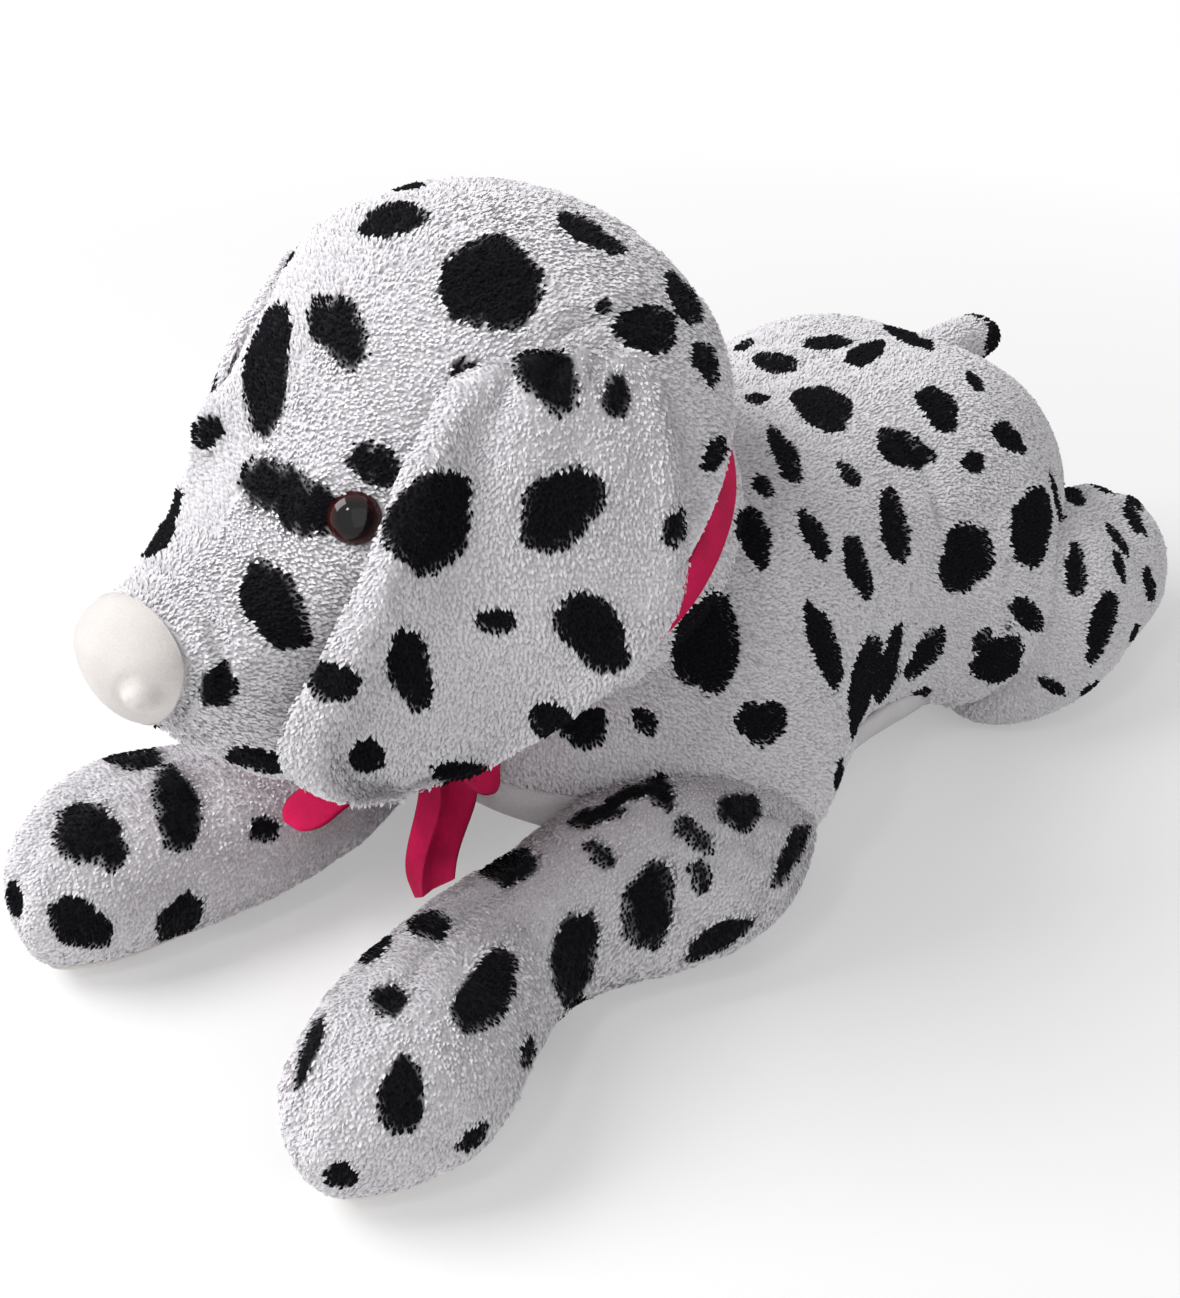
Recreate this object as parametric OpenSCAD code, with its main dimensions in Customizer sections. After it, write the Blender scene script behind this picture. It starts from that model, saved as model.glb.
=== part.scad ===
// A stuffed dog lying on its belly: pile covers sewn from panels over fibre stuffing,
// floppy ears, safety eyes with lock washers, and a ribbon tied in a bow at the neck.
// Millimetres, +Z up. The dog faces -Y, its left side is +X, and the belly rests on Z = 0.

/* [Cover] */
// Thickness of the pile cover, backing and pile together
cover_t = 4; // [2:0.5:6]
// Room between a cover and what it moves against
clearance = 0.4; // [0.3:0.1:0.8]
// Depth that a resting form is pressed flat by the floor
rest_flat = 0.5; // [0.3:0.1:1]

/* [Torso] */
// Length of the torso from chest to rump
torso_l = 436; // [410:2:460]
// Width across the chest end
chest_w = 216; // [200:2:232]
// Width across the shoulders
shoulder_w = 236; // [220:2:252]
// Width across the waist
waist_w = 204; // [188:2:220]
// Width across the hips
hip_w = 224; // [208:2:240]
// Width across the rump end
rump_w = 208; // [192:2:224]
// Height of the torso's widest line over the floor
torso_axis_h = 94; // [86:1:102]
// Height of the back over the floor
back_h = 208; // [198:1:216]
// Height of the withers, under the neck, over the floor
withers_h = 232; // [222:1:240]
// Height of the rump over the torso's widest line
rump_up = 92; // [84:1:100]
// Height of the chest's widest line over the floor
chest_axis_h = 112; // [106:1:118]
// Drop of the chest under its widest line
chest_drop = 56; // [50:1:62]
// Drop of the shoulders under the torso's widest line
shoulder_drop = 84; // [78:1:90]
// Height of the belly panel's seam at the chest
chest_seam_h = 92; // [80:1:104]
// Height of the belly panel's seam at the rump
rump_seam_h = 24; // [16:1:32]

/* [Neck] */
// Height of the neck's centre over the floor
neck_h = 196; // [190:1:202]
// Distance of the neck's centre in front of the torso's middle
neck_front = 154; // [148:1:160]
// Radius of the stuffed neck ball
neck_r = 90; // [84:1:94]
// Tilt of the neck forwards from upright
neck_tilt = 37; // [33:1:41]
// Tilt of the open groove that lets the head nod
nod_groove = 13; // [12:0.5:15]

/* [Head] */
// Length of the head from nose to nape
head_l = 310; // [296:2:324]
// Height of the head's axis over the floor
head_h = 222; // [214:1:230]
// Distance of the head's middle in front of the torso's middle
head_front = 225; // [217:1:233]
// Width of the nose end
nose_w = 106; // [96:2:116]
// Rise of the nose end over the head's axis
nose_up = 30; // [24:1:36]
// Drop of the nose end under the head's axis
nose_drop = 58; // [50:1:66]
// Width of the muzzle
muzzle_w = 108; // [100:2:116]
// Rise of the muzzle over the head's axis
muzzle_up = 42; // [36:1:48]
// Drop of the muzzle under the head's axis
muzzle_drop = 92; // [84:1:100]
// Width of the face at the eyes
face_w = 120; // [110:2:130]
// Rise of the brow over the head's axis
brow_up = 71; // [63:1:79]
// Width of the head at the temples
temple_w = 152; // [142:2:162]
// Rise of the forehead over the head's axis
forehead_up = 104; // [96:1:112]
// Greatest width of the head
head_w = 226; // [214:2:238]
// Rise of the crown over the head's axis
crown_up = 136; // [128:1:144]
// Rise of the nape over the head's axis
nape_up = 118; // [110:1:126]
// Drop of the jaw under the head's axis
jaw_drop = 100; // [92:1:108]
// Share of the head's length, back from the nose, that the nose pad covers
nose_pad_share = 0.047; // [0.04:0.001:0.08]
// Distance of the back seam behind the head's middle
back_seam = 42; // [34:1:50]

/* [Ears] */
// Thickness of one ear layer
ear_t = 3; // [2:0.5:4]
// Height of the ear's sewn root over the head's smooth curve, which its flat faces lie a little inside
ear_seat = -0.3; // [-0.4:0.1:0.6]
// How far the middle of the ear stands off the head
ear_lift = 5; // [3:0.5:8]
// How far the front edge of the ear stands off the head
ear_front_lift = 10; // [6:0.5:14]
// How far the tip of the ear stands off the head
ear_tip_lift = 3; // [2:0.5:5]
// How far the left ear hangs under the head's widest line
left_ear_hang = 66; // [56:1:76]
// How far the right ear hangs under the head's widest line
right_ear_hang = 70; // [60:1:80]

/* [Eyes] */
// Diameter of the eye dome
eye_d = 21; // [18:1:26]
// Height of the eye dome over its flange
eye_dome_h = 8; // [6:0.5:10]
// Diameter of the pupil
pupil_d = 11; // [8:1:14]
// Diameter of the eye's shank
eye_shank_d = 6; // [4:0.5:8]
// Length of the eye's shank behind the cover
eye_shank_l = 12; // [10:1:16]
// Diameter of the lock washer on the shank
washer_d = 20; // [16:1:24]
// Thickness of the lock washer
washer_t = 2; // [1.5:0.5:3]

/* [Forelegs] */
// Length of a foreleg from paw tip to shoulder
foreleg_l = 300; // [286:2:314]
// Distance of the paw tips in front of the torso's middle
paw_front = 387; // [375:2:399]
// Distance between the middles of the two forepaws
paw_spacing = 196; // [184:2:208]
// Distance between the middles of the two forearms
forearm_spacing = 154; // [144:2:164]
// Distance between the middles of the two shoulders
foreleg_root_spacing = 208; // [200:2:216]
// Width of a forepaw's ball
paw_w = 104; // [96:2:112]
// Height of a forepaw over its axis
paw_up = 54; // [48:1:60]
// Height of the forepaw's axis over the floor
paw_h = 46; // [42:1:50]
// Width of the forearm
forearm_w = 72; // [66:2:78]
// Height of the forearm over its axis
forearm_up = 40; // [36:1:44]
// Drop of the forearm under its axis
forearm_drop = 43; // [39:1:46]
// Height of the forearm's axis over the floor
forearm_h = 46; // [42:1:50]
// Width of the foreleg at the shoulder
foreleg_root_w = 98; // [90:2:106]
// Height of the shoulder's axis over the floor
foreleg_root_h = 56; // [52:1:60]
// Drop of the shoulder under its axis
foreleg_root_drop = 50; // [46:1:52]
// Height of the foreleg's shoulder over its axis
foreleg_root_up = 62; // [56:1:68]
// Distance of the foreleg's pivot in from its shoulder end
shoulder_in = 30; // [24:1:36]
// Distance of each leg's pivot inwards from the middle of its root
root_in = 8; // [4:1:12]
// Height of the sole seam over the floor
sole_h = 11; // [8:0.5:14]
// Length of the sole along the paw
sole_l = 92; // [80:2:104]

/* [Hind legs] */
// Length of a hind leg from hip to toe
hindleg_l = 176; // [164:2:188]
// Distance of the toes behind the torso's middle
toe_back = 246; // [236:2:256]
// Distance between the middles of the two hips
hip_spacing = 184; // [176:2:192]
// Distance between the middles of the two hind feet
foot_spacing = 170; // [160:2:180]
// Distance of the hind leg's pivot in from its hip end
hip_in = 36; // [30:1:42]
// Width of the thigh
thigh_w = 120; // [112:2:128]
// Height of the thigh's axis over the floor
thigh_h = 58; // [54:1:62]
// Height of the thigh over its axis
thigh_up = 84; // [76:1:92]
// Width of a hind foot
foot_w = 108; // [100:2:116]
// Height of the hind foot's axis over the floor
foot_h = 46; // [42:1:50]
// Height of a hind foot over its axis
foot_up = 60; // [54:1:66]

/* [Tail] */
// Length of the tail
tail_l = 76; // [66:2:88]
// Distance of the tail's tip behind the torso's middle
tail_back = 212; // [206:1:218]
// Thickness of the tail
tail_w = 28; // [22:1:34]
// Height of the tail's base over the floor
tail_base_h = 174; // [170:1:178]
// Height of the tail's tip over the floor
tail_tip_h = 166; // [158:1:174]

/* [Ribbon] */
// Width of the ribbon round the neck
ribbon_w = 20; // [14:1:22]
// Thickness of the ribbon, with its folded edges
ribbon_t = 2; // [1:0.25:3]
// Width of the bow's ribbon
bow_w = 28; // [22:1:30]
// Length of one loop of the bow
loop_l = 42; // [34:1:46]
// Thickness of one loop of the bow
loop_h = 14; // [10:1:20]
// Length of the ribbon's left end
ribbon_left_l = 86; // [70:1:92]
// Length of the ribbon's right end
ribbon_right_l = 78; // [64:1:84]
// Length of the right end that hangs before it bends forwards
ribbon_right_drop = 24; // [18:1:30]
// How far the left end leans forwards at its tip
ribbon_left_lean = 6; // [2:1:12]
// Radius of the bend that turns the right end forwards under the chin
ribbon_right_bend = 10; // [8:1:12]
// Distance of the right end from the middle
ribbon_right_in = 16; // [10:1:18]
// Depth that the bow sinks into the neck ribbon
bow_sink = 5; // [4.5:0.5:6]
// Distance of the bow's middle under the neck ribbon's front
bow_drop = 10; // [8:0.5:12]
// Size of the bow's knot
knot_d = 24; // [20:1:28]

/* [Hidden] */

// Colours as the photograph shows them
pile_white = [0.86, 0.85, 0.88];
sole_cream = [0.93, 0.90, 0.88];
fibre_white = [0.96, 0.96, 0.94];
ribbon_red = [0.78, 0.04, 0.25];
eye_brown = [0.20, 0.07, 0.05];
pupil_black = [0.02, 0.02, 0.02];
washer_white = [0.90, 0.90, 0.88];

// A size larger than the whole dog, for half spaces
far = 1200;

// A form is [front y, back y, roundness along it, roundness below, stations, section power].
// A station is [place from -1 at the front to 1 at the back,
// [centre x, centre z, half width, rise, drop]]. A section power under 1 squares the section.
soft = 2.6;
flat_below = 5;
round_section = 1;
full_section = 0.82;
torso_form = [-torso_l / 2, torso_l / 2, soft, flat_below, [
    [-1.0, [0, chest_axis_h, chest_w / 2, withers_h - chest_axis_h, chest_drop]],
    [-0.5, [0, torso_axis_h, shoulder_w / 2, withers_h - torso_axis_h, shoulder_drop]],
    [0.0, [0, torso_axis_h, waist_w / 2, back_h - torso_axis_h, torso_axis_h + rest_flat]],
    [0.5, [0, torso_axis_h, hip_w / 2, back_h - torso_axis_h, torso_axis_h + rest_flat]],
    [1.0, [0, torso_axis_h, rump_w / 2, rump_up, torso_axis_h + rest_flat]]], full_section];

head_form = [-head_front - head_l / 2, -head_front + head_l / 2, soft, soft, [
    [-1.0, [0, head_h, nose_w / 2, nose_up, nose_drop]],
    [-0.68, [0, head_h, muzzle_w / 2, muzzle_up, muzzle_drop]],
    [-0.48, [0, head_h, face_w / 2, brow_up, jaw_drop]],
    [-0.28, [0, head_h, temple_w / 2, forehead_up, jaw_drop]],
    [0.1, [0, head_h, head_w / 2, crown_up, jaw_drop]],
    [1.0, [0, head_h, head_w / 2, nape_up, jaw_drop]]], round_section];

foreleg_form = [-paw_front, -paw_front + foreleg_l, soft, flat_below, [
    [-1.0, [paw_spacing / 2, paw_h, paw_w / 2, paw_up, paw_h + rest_flat]],
    [-0.6, [paw_spacing / 2, paw_h, paw_w / 2, paw_up, paw_h + rest_flat]],
    [-0.05, [forearm_spacing / 2, forearm_h, forearm_w / 2, forearm_up, forearm_drop]],
    [0.5, [foreleg_root_spacing / 2, foreleg_root_h, foreleg_root_w / 2, foreleg_root_up, foreleg_root_drop]],
    [1.0, [foreleg_root_spacing / 2, foreleg_root_h, foreleg_root_w / 2, foreleg_root_up,
        foreleg_root_drop]]], round_section];

hindleg_form = [toe_back - hindleg_l, toe_back, soft, flat_below, [
    [-1.0, [hip_spacing / 2, thigh_h, thigh_w / 2, thigh_up, thigh_h + rest_flat]],
    [-0.4, [hip_spacing / 2, thigh_h, thigh_w / 2, thigh_up, thigh_h + rest_flat]],
    [0.3, [foot_spacing / 2, foot_h, foot_w / 2, foot_up, foot_h + rest_flat]],
    [1.0, [foot_spacing / 2, foot_h, foot_w / 2, foot_up, foot_h + rest_flat]]], round_section];

tail_form = [tail_back - tail_l, tail_back, soft, soft, [
    [-1.0, [0, tail_base_h, tail_w / 2, tail_w / 2, tail_w / 2]],
    [1.0, [0, tail_tip_h, tail_w / 2, tail_w / 2, tail_w / 2]]], round_section];

// Rings and sides of the outer skins and of the plainer insides
torso_grid = [14, 20];
head_grid = [16, 20];
leg_grid = [10, 12];
tail_grid = [7, 10];
inside_grid = [12, 8];
leg_inside_grid = [10, 6];

// Joint places, which the covers are cut clear for
neck_centre = [0, -neck_front, neck_h];
splay_poses = [-2, 5, 12.5, 20];
foreleg_pivot = [foreleg_root_spacing / 2 - root_in, -paw_front + foreleg_l - shoulder_in, 0];
hip_pivot = [hip_spacing / 2 - root_in, toe_back - hindleg_l + hip_in, 0];
tail_pivot = [0, tail_back - tail_l + tail_w / 2, 0];
wag_poses = [-20, -10, 0, 10, 20];

// The value of a list of stations at one place, on a smooth curve through them
function last(s) = len(s) - 1;
function slope(s, i) = let (a = max(i - 1, 0), b = min(i + 1, last(s)))
    (s[b][1] - s[a][1]) / (s[b][0] - s[a][0]);
function seek(s, u) = max([for (i = [0 : last(s) - 1]) if (i == 0 || s[i][0] <= u) i]);
function station_at(s, u) = let (i = seek(s, u), h = s[i + 1][0] - s[i][0],
        t = (u - s[i][0]) / h, tt = t * t, ttt = tt * t)
    s[i][1] * (2 * ttt - 3 * tt + 1) + slope(s, i) * h * (ttt - 2 * tt + t)
    + s[i + 1][1] * (3 * tt - 2 * ttt) + slope(s, i + 1) * h * (ttt - tt);

// How full a form is at one place, closing to nothing at both ends
function fullness(u, k) = pow(max(0, 1 - pow(abs(u), k)), 1 / k);

// A number raised to a power with its sign kept
function signed_pow(v, k) = sign(v) * pow(abs(v), k);

// A point on a form at place u along it and angle a round it, from +X towards +Z
function form_point(f, u, a) = let (v = station_at(f[4], u), e = fullness(u, f[2]),
        z_half = sin(a) > 0 ? v[3] * e : v[4] * fullness(u, f[3]))
    [v[0] + v[2] * e * signed_pow(cos(a), f[5]), f[0] + (f[1] - f[0]) * (u + 1) / 2,
        v[1] + z_half * signed_pow(sin(a), f[5])];

// The outward direction of a form at that point
function unit(v) = v / norm(v);
function form_normal(f, u, a) = let (h = 0.01, g = 0.5)
    unit(cross(form_point(f, u + h, a) - form_point(f, u - h, a),
        form_point(f, u, a + g) - form_point(f, u, a - g)));

// The same form with its skin moved in by t, or out where t is negative
function inset(f, t) = [f[0] + t, f[1] - t, f[2], f[3],
    [for (s = f[4]) [s[0], s[1] - [0, 0, t, t, t]]], f[5]];

// A closed solid through rings of points, each end drawn together at a point.
// From the side numbered turned onwards, its four-sided faces are split along their other diagonal.
module ring_solid(start, rings, end, turned = far) {
    n = len(rings);
    m = len(rings[0]);
    tip = 1 + n * m;
    polyhedron(
        concat([start], [for (ring = rings) each ring], [end]),
        concat([for (j = [0 : m - 1]) [0, 1 + (j + 1) % m, 1 + j]],
            [for (i = [0 : n - 2]) for (j = [0 : m - 1]) for (half = [0, 1])
                let (a = 1 + i * m + j, d = 1 + i * m + (j + 1) % m)
                half == 0 ? [a, d, j < turned ? d + m : a + m] : [j < turned ? a : d, d + m, a + m]],
            [for (j = [0 : m - 1]) [tip, tip - m + j, tip - m + (j + 1) % m]]));
}

// A closed solid over a form, with its rings closer together towards the ends and its two sides alike
module form_solid(f, grid) {
    n = grid[0];
    m = grid[1];
    ring_solid(form_point(f, -1, 0),
        [for (i = [1 : n - 1]) [for (j = [0 : m - 1]) form_point(f, -cos(180 * i / n), 360 * j / m - 90)]],
        form_point(f, 1, 0), turned = m / 2);
}

// A soft solid is kept as one mesh of flat triangles
module soft_solid() {
    resize([0, 0, 0]) children();
}

// The left side's shape, or its mirror image on the right side
module mirrored(sign) {
    mirror([sign > 0 ? 0 : 1, 0, 0]) children();
}

module above_floor() {
    translate([-far / 2, -far / 2, 0]) cube(far);
}

module side(sign) {
    translate([sign > 0 ? 0 : -far, -far / 2, -far / 2]) cube(far);
}

// A hollow cover of a form
module shell(f, grid, inner_grid) {
    difference() {
        form_solid(f, grid);
        form_solid(inset(f, cover_t), inner_grid);
    }
}

// What is in front of a plane across the dog at y, leaning back at its top by lean
module in_front_of(y, z, lean) {
    translate([0, y, z]) rotate([-lean, 0, 0]) translate([-far / 2, -far, -far / 2]) cube(far);
}

// Children placed about the neck, with the neck's axis along Z
module at_neck() {
    translate(neck_centre) rotate([neck_tilt, 0, 0]) children();
}

// All that lies under the plane where the torso ends at the neck
module below_neck() {
    at_neck() translate([-far / 2, -far / 2, -far - ribbon_w / 2 - clearance]) cube(far);
}

// The neck ball with room round it, and the open groove above the ribbon
socket_sides = 24;
module head_room() {
    at_neck() {
        sphere(r = (neck_r + clearance) / pow(cos(180 / socket_sides), 2), $fn = socket_sides);
        rotate_extrude($fn = socket_sides)
            polygon([[0, -far], [far, -far], [far, far * tan(nod_groove)], [0, 0]]);
    }
}

// The belly panel's seam plane rises from the rump to the chest
belly_rise = atan((chest_seam_h - rump_seam_h) / torso_l);
module below_belly_seam() {
    translate([0, 0, (chest_seam_h + rump_seam_h) / 2]) rotate([-belly_rise, 0, 0])
        translate([-far / 2, -far / 2, -far]) cube(far);
}

module torso_shell() {
    intersection() {
        shell(torso_form, torso_grid, inside_grid);
        above_floor();
        below_neck();
    }
}

module torso_side_cover(sign) {
    color(pile_white) soft_solid() difference() {
        intersection() {
            torso_shell();
            side(sign);
        }
        below_belly_seam();
    }
}

module belly_panel() {
    color(sole_cream) soft_solid() intersection() {
        torso_shell();
        below_belly_seam();
    }
}

module torso_stuffing() {
    color(fibre_white) soft_solid() intersection() {
        form_solid(inset(torso_form, cover_t + clearance), inside_grid);
        above_floor();
        below_neck();
    }
}

// The neck is a stuffed ball that the head sits on, flat where it meets the torso
module stuffed_neck() {
    color(pile_white) at_neck() intersection() {
        sphere(r = neck_r, $fn = 96);
        translate([-far / 2, -far / 2, -ribbon_w / 2]) cube(far);
    }
}

// The ribbon lies round the neck in the groove between head and torso
ribbon_r = neck_r + clearance;
module neck_ribbon() {
    color(ribbon_red) at_neck() difference() {
        cylinder(h = ribbon_w, r = ribbon_r + ribbon_t, center = true, $fn = 96);
        cylinder(h = ribbon_w + 1, r = ribbon_r, center = true, $fn = 96);
    }
}

// The bow hangs at the front of the ribbon, low enough for the chin to come down over it
bow_y = -neck_front - (ribbon_r + ribbon_t) * cos(neck_tilt) - knot_d / 2 + bow_sink;
bow_h = neck_h - (ribbon_r + ribbon_t) * sin(neck_tilt) - bow_drop;
bow_centre = [0, bow_y, bow_h];
knot_form = [-knot_d / 2, knot_d / 2, soft, soft, [
    [-1.0, [0, 0, knot_d / 2, bow_w / 2, bow_w / 2]],
    [1.0, [0, 0, knot_d / 2, bow_w / 2, bow_w / 2]]], round_section];
module ribbon_knot() {
    color(ribbon_red) soft_solid() difference() {
        translate(bow_centre) rotate([0, 0, 90]) form_solid(knot_form, tail_grid);
        at_neck() cylinder(h = ribbon_w + clearance * 2, r = ribbon_r + ribbon_t + clearance,
            center = true, $fn = 96);
        form_solid(inset(torso_form, -clearance), torso_grid);
    }
}

// One loop is the ribbon folded back on itself, wide at the middle and pinched at the knot
module bow_loop(sign) {
    pinch = knot_d / 2 + clearance;
    color(ribbon_red) translate(bow_centre) mirrored(sign)
        linear_extrude(bow_w, center = true) difference() {
            hull() {
                translate([pinch, -ribbon_t]) square([ribbon_t, ribbon_t * 2]);
                translate([pinch + loop_l - loop_h / 2, 0]) circle(d = loop_h, $fn = 32);
            }
            hull() {
                translate([pinch + ribbon_t * 2, 0]) circle(d = ribbon_t / 2, $fn = 16);
                translate([pinch + loop_l - loop_h / 2, 0]) circle(d = loop_h - ribbon_t * 2, $fn = 32);
            }
        }
}

// The left end hangs in a slow wave from under its loop, and the right end bends forwards under the chin
end_steps = 18;
end_in = knot_d / 4;
end_top = bow_h - bow_w / 2 - clearance * 2;
function wave_y(t) = ribbon_t * 2 * sin(360 * t) - ribbon_left_lean * t * t;
left_run = [for (i = [0 : end_steps]) let (t = i / end_steps) [[wave_y(t), -ribbon_left_l * t], [1, 0]]];
right_run = [for (i = [0 : end_steps])
    let (s = ribbon_right_l * i / end_steps,
        hung = min(s, ribbon_right_drop),
        turn = min(90, max(0, s - ribbon_right_drop) / ribbon_right_bend * 180 / PI),
        past = max(0, s - ribbon_right_drop - ribbon_right_bend * PI / 2))
    [[-ribbon_right_bend * (1 - cos(turn)) - past, -hung - ribbon_right_bend * sin(turn)],
        [cos(turn), -sin(turn)]]];
module ribbon_end(x, run) {
    color(ribbon_red) translate([x, bow_y, end_top]) rotate([90, 0, 90]) linear_extrude(bow_w)
        polygon(concat([for (p = run) p[0] - p[1] * ribbon_t / 2],
            [for (i = [end_steps : -1 : 0]) run[i][0] + run[i][1] * ribbon_t / 2]));
}

// The eyes sit on the face, with the shank through the cover and a washer locked behind it
eye_place = [-0.45, 39];
eye_point = form_point(head_form, eye_place[0], eye_place[1]);
eye_normal = form_normal(head_form, eye_place[0], eye_place[1]);
module at_eye(sign) {
    mirrored(sign) translate(eye_point)
        rotate([0, acos(eye_normal[2]), atan2(eye_normal[1], eye_normal[0])]) children();
}

eye_ball_r = (pow(eye_d / 2, 2) + pow(eye_dome_h, 2)) / (2 * eye_dome_h);
pupil_t = 1;
eye_sink = 2;
module eye_dome(sign) {
    color(eye_brown) at_eye(sign) difference() {
        translate([0, 0, -eye_sink]) intersection() {
            translate([0, 0, eye_dome_h - eye_ball_r]) sphere(r = eye_ball_r, $fn = 64);
            cylinder(h = eye_dome_h, d = eye_d, $fn = 64);
        }
        translate([0, 0, -eye_sink - 0.01]) cylinder(h = pupil_t + 0.01, d = pupil_d, $fn = 48);
    }
}

module eye_pupil(sign) {
    color(pupil_black) at_eye(sign) translate([0, 0, -eye_sink])
        cylinder(h = pupil_t, d = pupil_d, $fn = 48);
}

module eye_shank(sign) {
    color(pupil_black) at_eye(sign) translate([0, 0, -eye_sink - eye_shank_l])
        cylinder(h = eye_shank_l, d = eye_shank_d, $fn = 32);
}

washer_z = -eye_sink - cover_t - clearance * 3 - washer_t;
module eye_washer(sign) {
    color(washer_white) at_eye(sign) translate([0, 0, washer_z]) difference() {
        cylinder(h = washer_t, d = washer_d, $fn = 48);
        translate([0, 0, -1]) cylinder(h = washer_t + 2, d = eye_shank_d, $fn = 32);
    }
}

// The pocket that each eye leaves in the cover and in the stuffing
module eye_rooms() {
    for (sign = [-1, 1]) at_eye(sign) {
        translate([0, 0, -eye_sink]) cylinder(h = eye_dome_h, d = eye_d + clearance * 2, $fn = 32);
        translate([0, 0, -far / 20]) cylinder(h = far / 20, d = eye_shank_d + clearance * 2, $fn = 24);
    }
}

module washer_rooms() {
    for (sign = [-1, 1]) at_eye(sign) translate([0, 0, -eye_sink - eye_shank_l - clearance])
        cylinder(h = eye_shank_l, d = washer_d + clearance * 2, $fn = 32);
}

nose_seam_y = -head_front - head_l / 2 + head_l * nose_pad_share;
nose_lean = 6;
back_lean = -6;
module nose_side() {
    in_front_of(nose_seam_y, head_h, nose_lean);
}

module back_side() {
    difference() {
        translate([-far / 2, -far / 2, -far / 2]) cube(far);
        in_front_of(-head_front + back_seam, head_h, back_lean);
    }
}

module head_shell() {
    difference() {
        shell(head_form, head_grid, inside_grid);
        head_room();
        eye_rooms();
    }
}

module face_side_cover(sign) {
    color(pile_white) soft_solid() difference() {
        intersection() {
            head_shell();
            side(sign);
        }
        nose_side();
        back_side();
    }
}

module head_back_cover() {
    color(pile_white) soft_solid() intersection() {
        head_shell();
        back_side();
    }
}

module nose_pad() {
    color(sole_cream) soft_solid() intersection() {
        head_shell();
        nose_side();
    }
}

module head_stuffing() {
    color(fibre_white) soft_solid() difference() {
        form_solid(inset(head_form, cover_t + clearance), inside_grid);
        head_room();
        eye_rooms();
        washer_rooms();
    }
}

// The ear's front and rear edges, from the root to the tip. Each place is the share along the
// head and the angle up its side, or, where negative, how far the ear hangs under its widest line.
// The left ear flops forwards over the cheek, and the right ear hangs straight.
left_ear_mid = -left_ear_hang * 0.48;
left_ear_low = -left_ear_hang * 0.86;
right_ear_mid = -right_ear_hang * 0.48;
right_ear_low = -right_ear_hang * 0.86;
left_ear_front = [[0, [-0.16, 52]], [0.25, [-0.37, 36]], [0.5, [-0.60, 8]],
    [0.75, [-0.74, left_ear_mid]], [0.9, [-0.66, left_ear_low]], [1, [-0.44, -left_ear_hang]]];
left_ear_rear = [[0, [0.27, 42]], [0.25, [0.20, 20]], [0.5, [0.16, 0]],
    [0.75, [-0.02, left_ear_mid]], [0.9, [-0.22, left_ear_low]], [1, [-0.44, -left_ear_hang]]];
right_ear_front = [[0, [-0.16, 52]], [0.25, [-0.22, 34]], [0.5, [-0.32, 6]],
    [0.75, [-0.44, right_ear_mid]], [0.9, [-0.38, right_ear_low]], [1, [-0.18, -right_ear_hang]]];
right_ear_rear = [[0, [0.27, 42]], [0.25, [0.32, 20]], [0.5, [0.34, 0]],
    [0.75, [0.24, right_ear_mid]], [0.9, [0.06, right_ear_low]], [1, [-0.18, -right_ear_hang]]];
ear_rows = 8;
ear_columns = 7;
ear_fold = 0.3;
function ear_stand(s, t) = let (rise = sin(90 * min(1, t / ear_fold)))
    ear_seat + rise * (ear_lift * sin(180 * s) + ear_front_lift * pow(1 - s, 3) + ear_tip_lift);
function ear_place(edges, s, t) = station_at(edges[0], t) * (1 - s) + station_at(edges[1], t) * s;
function ear_point(edges, s, t, out) = let (p = ear_place(edges, s, t), a = max(p[1], 0))
    form_point(head_form, p[0], a) + [0, 0, min(p[1], 0)]
    + form_normal(head_form, p[0], a) * (ear_stand(s, t) + out);
function ear_ring(edges, t, low, high) = concat(
    [for (j = [0 : ear_columns]) ear_point(edges, j / ear_columns, t, high)],
    [for (j = [ear_columns : -1 : 0]) ear_point(edges, j / ear_columns, t, low)]);
module ear_layer(sign, low, high) {
    edges = sign > 0 ? [left_ear_front, left_ear_rear] : [right_ear_front, right_ear_rear];
    color(pile_white) soft_solid() mirrored(sign) ring_solid(
        ear_point(edges, 0.5, 0, (low + high) / 2),
        [for (i = [0 : ear_rows - 1]) ear_ring(edges, i / ear_rows, low, high)],
        ear_point(edges, 0.5, 1, (low + high) / 2), turned = ear_columns + 1);
}

module ear_outer(sign) {
    ear_layer(sign, ear_t + clearance, ear_t * 2 + clearance);
}

module ear_lining(sign) {
    ear_layer(sign, 0, ear_t);
}

// The torso with room round it, turned to each place that it takes beside a swinging limb
module torso_room(pivot, poses) {
    for (p = poses) translate(pivot) rotate([0, 0, p]) translate(-pivot)
        form_solid(inset(torso_form, -clearance), torso_grid);
}

// A limb's cover, cut flat on the floor and clear of the torso
module limb_shell(f, pivot, poses) {
    difference() {
        intersection() {
            shell(f, leg_grid, leg_inside_grid);
            above_floor();
        }
        torso_room(pivot, poses);
    }
}

module limb_stuffing(f, pivot, poses) {
    color(fibre_white) soft_solid() difference() {
        intersection() {
            form_solid(inset(f, cover_t + clearance), leg_inside_grid);
            above_floor();
        }
        torso_room(pivot, poses);
    }
}

module foreleg_shell() {
    limb_shell(foreleg_form, foreleg_pivot, -splay_poses);
}

module hindleg_shell() {
    limb_shell(hindleg_form, hip_pivot, splay_poses);
}

// The flat sole under a forepaw, and the one under a hind foot
module forepaw_sole_side() {
    translate([-far / 2, -paw_front - far + sole_l, -far + sole_h]) cube(far);
}

module hindpaw_sole_side() {
    translate([-far / 2, toe_back - sole_l, -far + sole_h]) cube(far);
}

module beyond(x) {
    translate([x, -far / 2, -far / 2]) cube(far);
}

module foreleg_outer(sign) {
    color(pile_white) soft_solid() mirrored(sign) difference() {
        intersection() {
            foreleg_shell();
            beyond(paw_spacing / 2);
        }
        forepaw_sole_side();
    }
}

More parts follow.
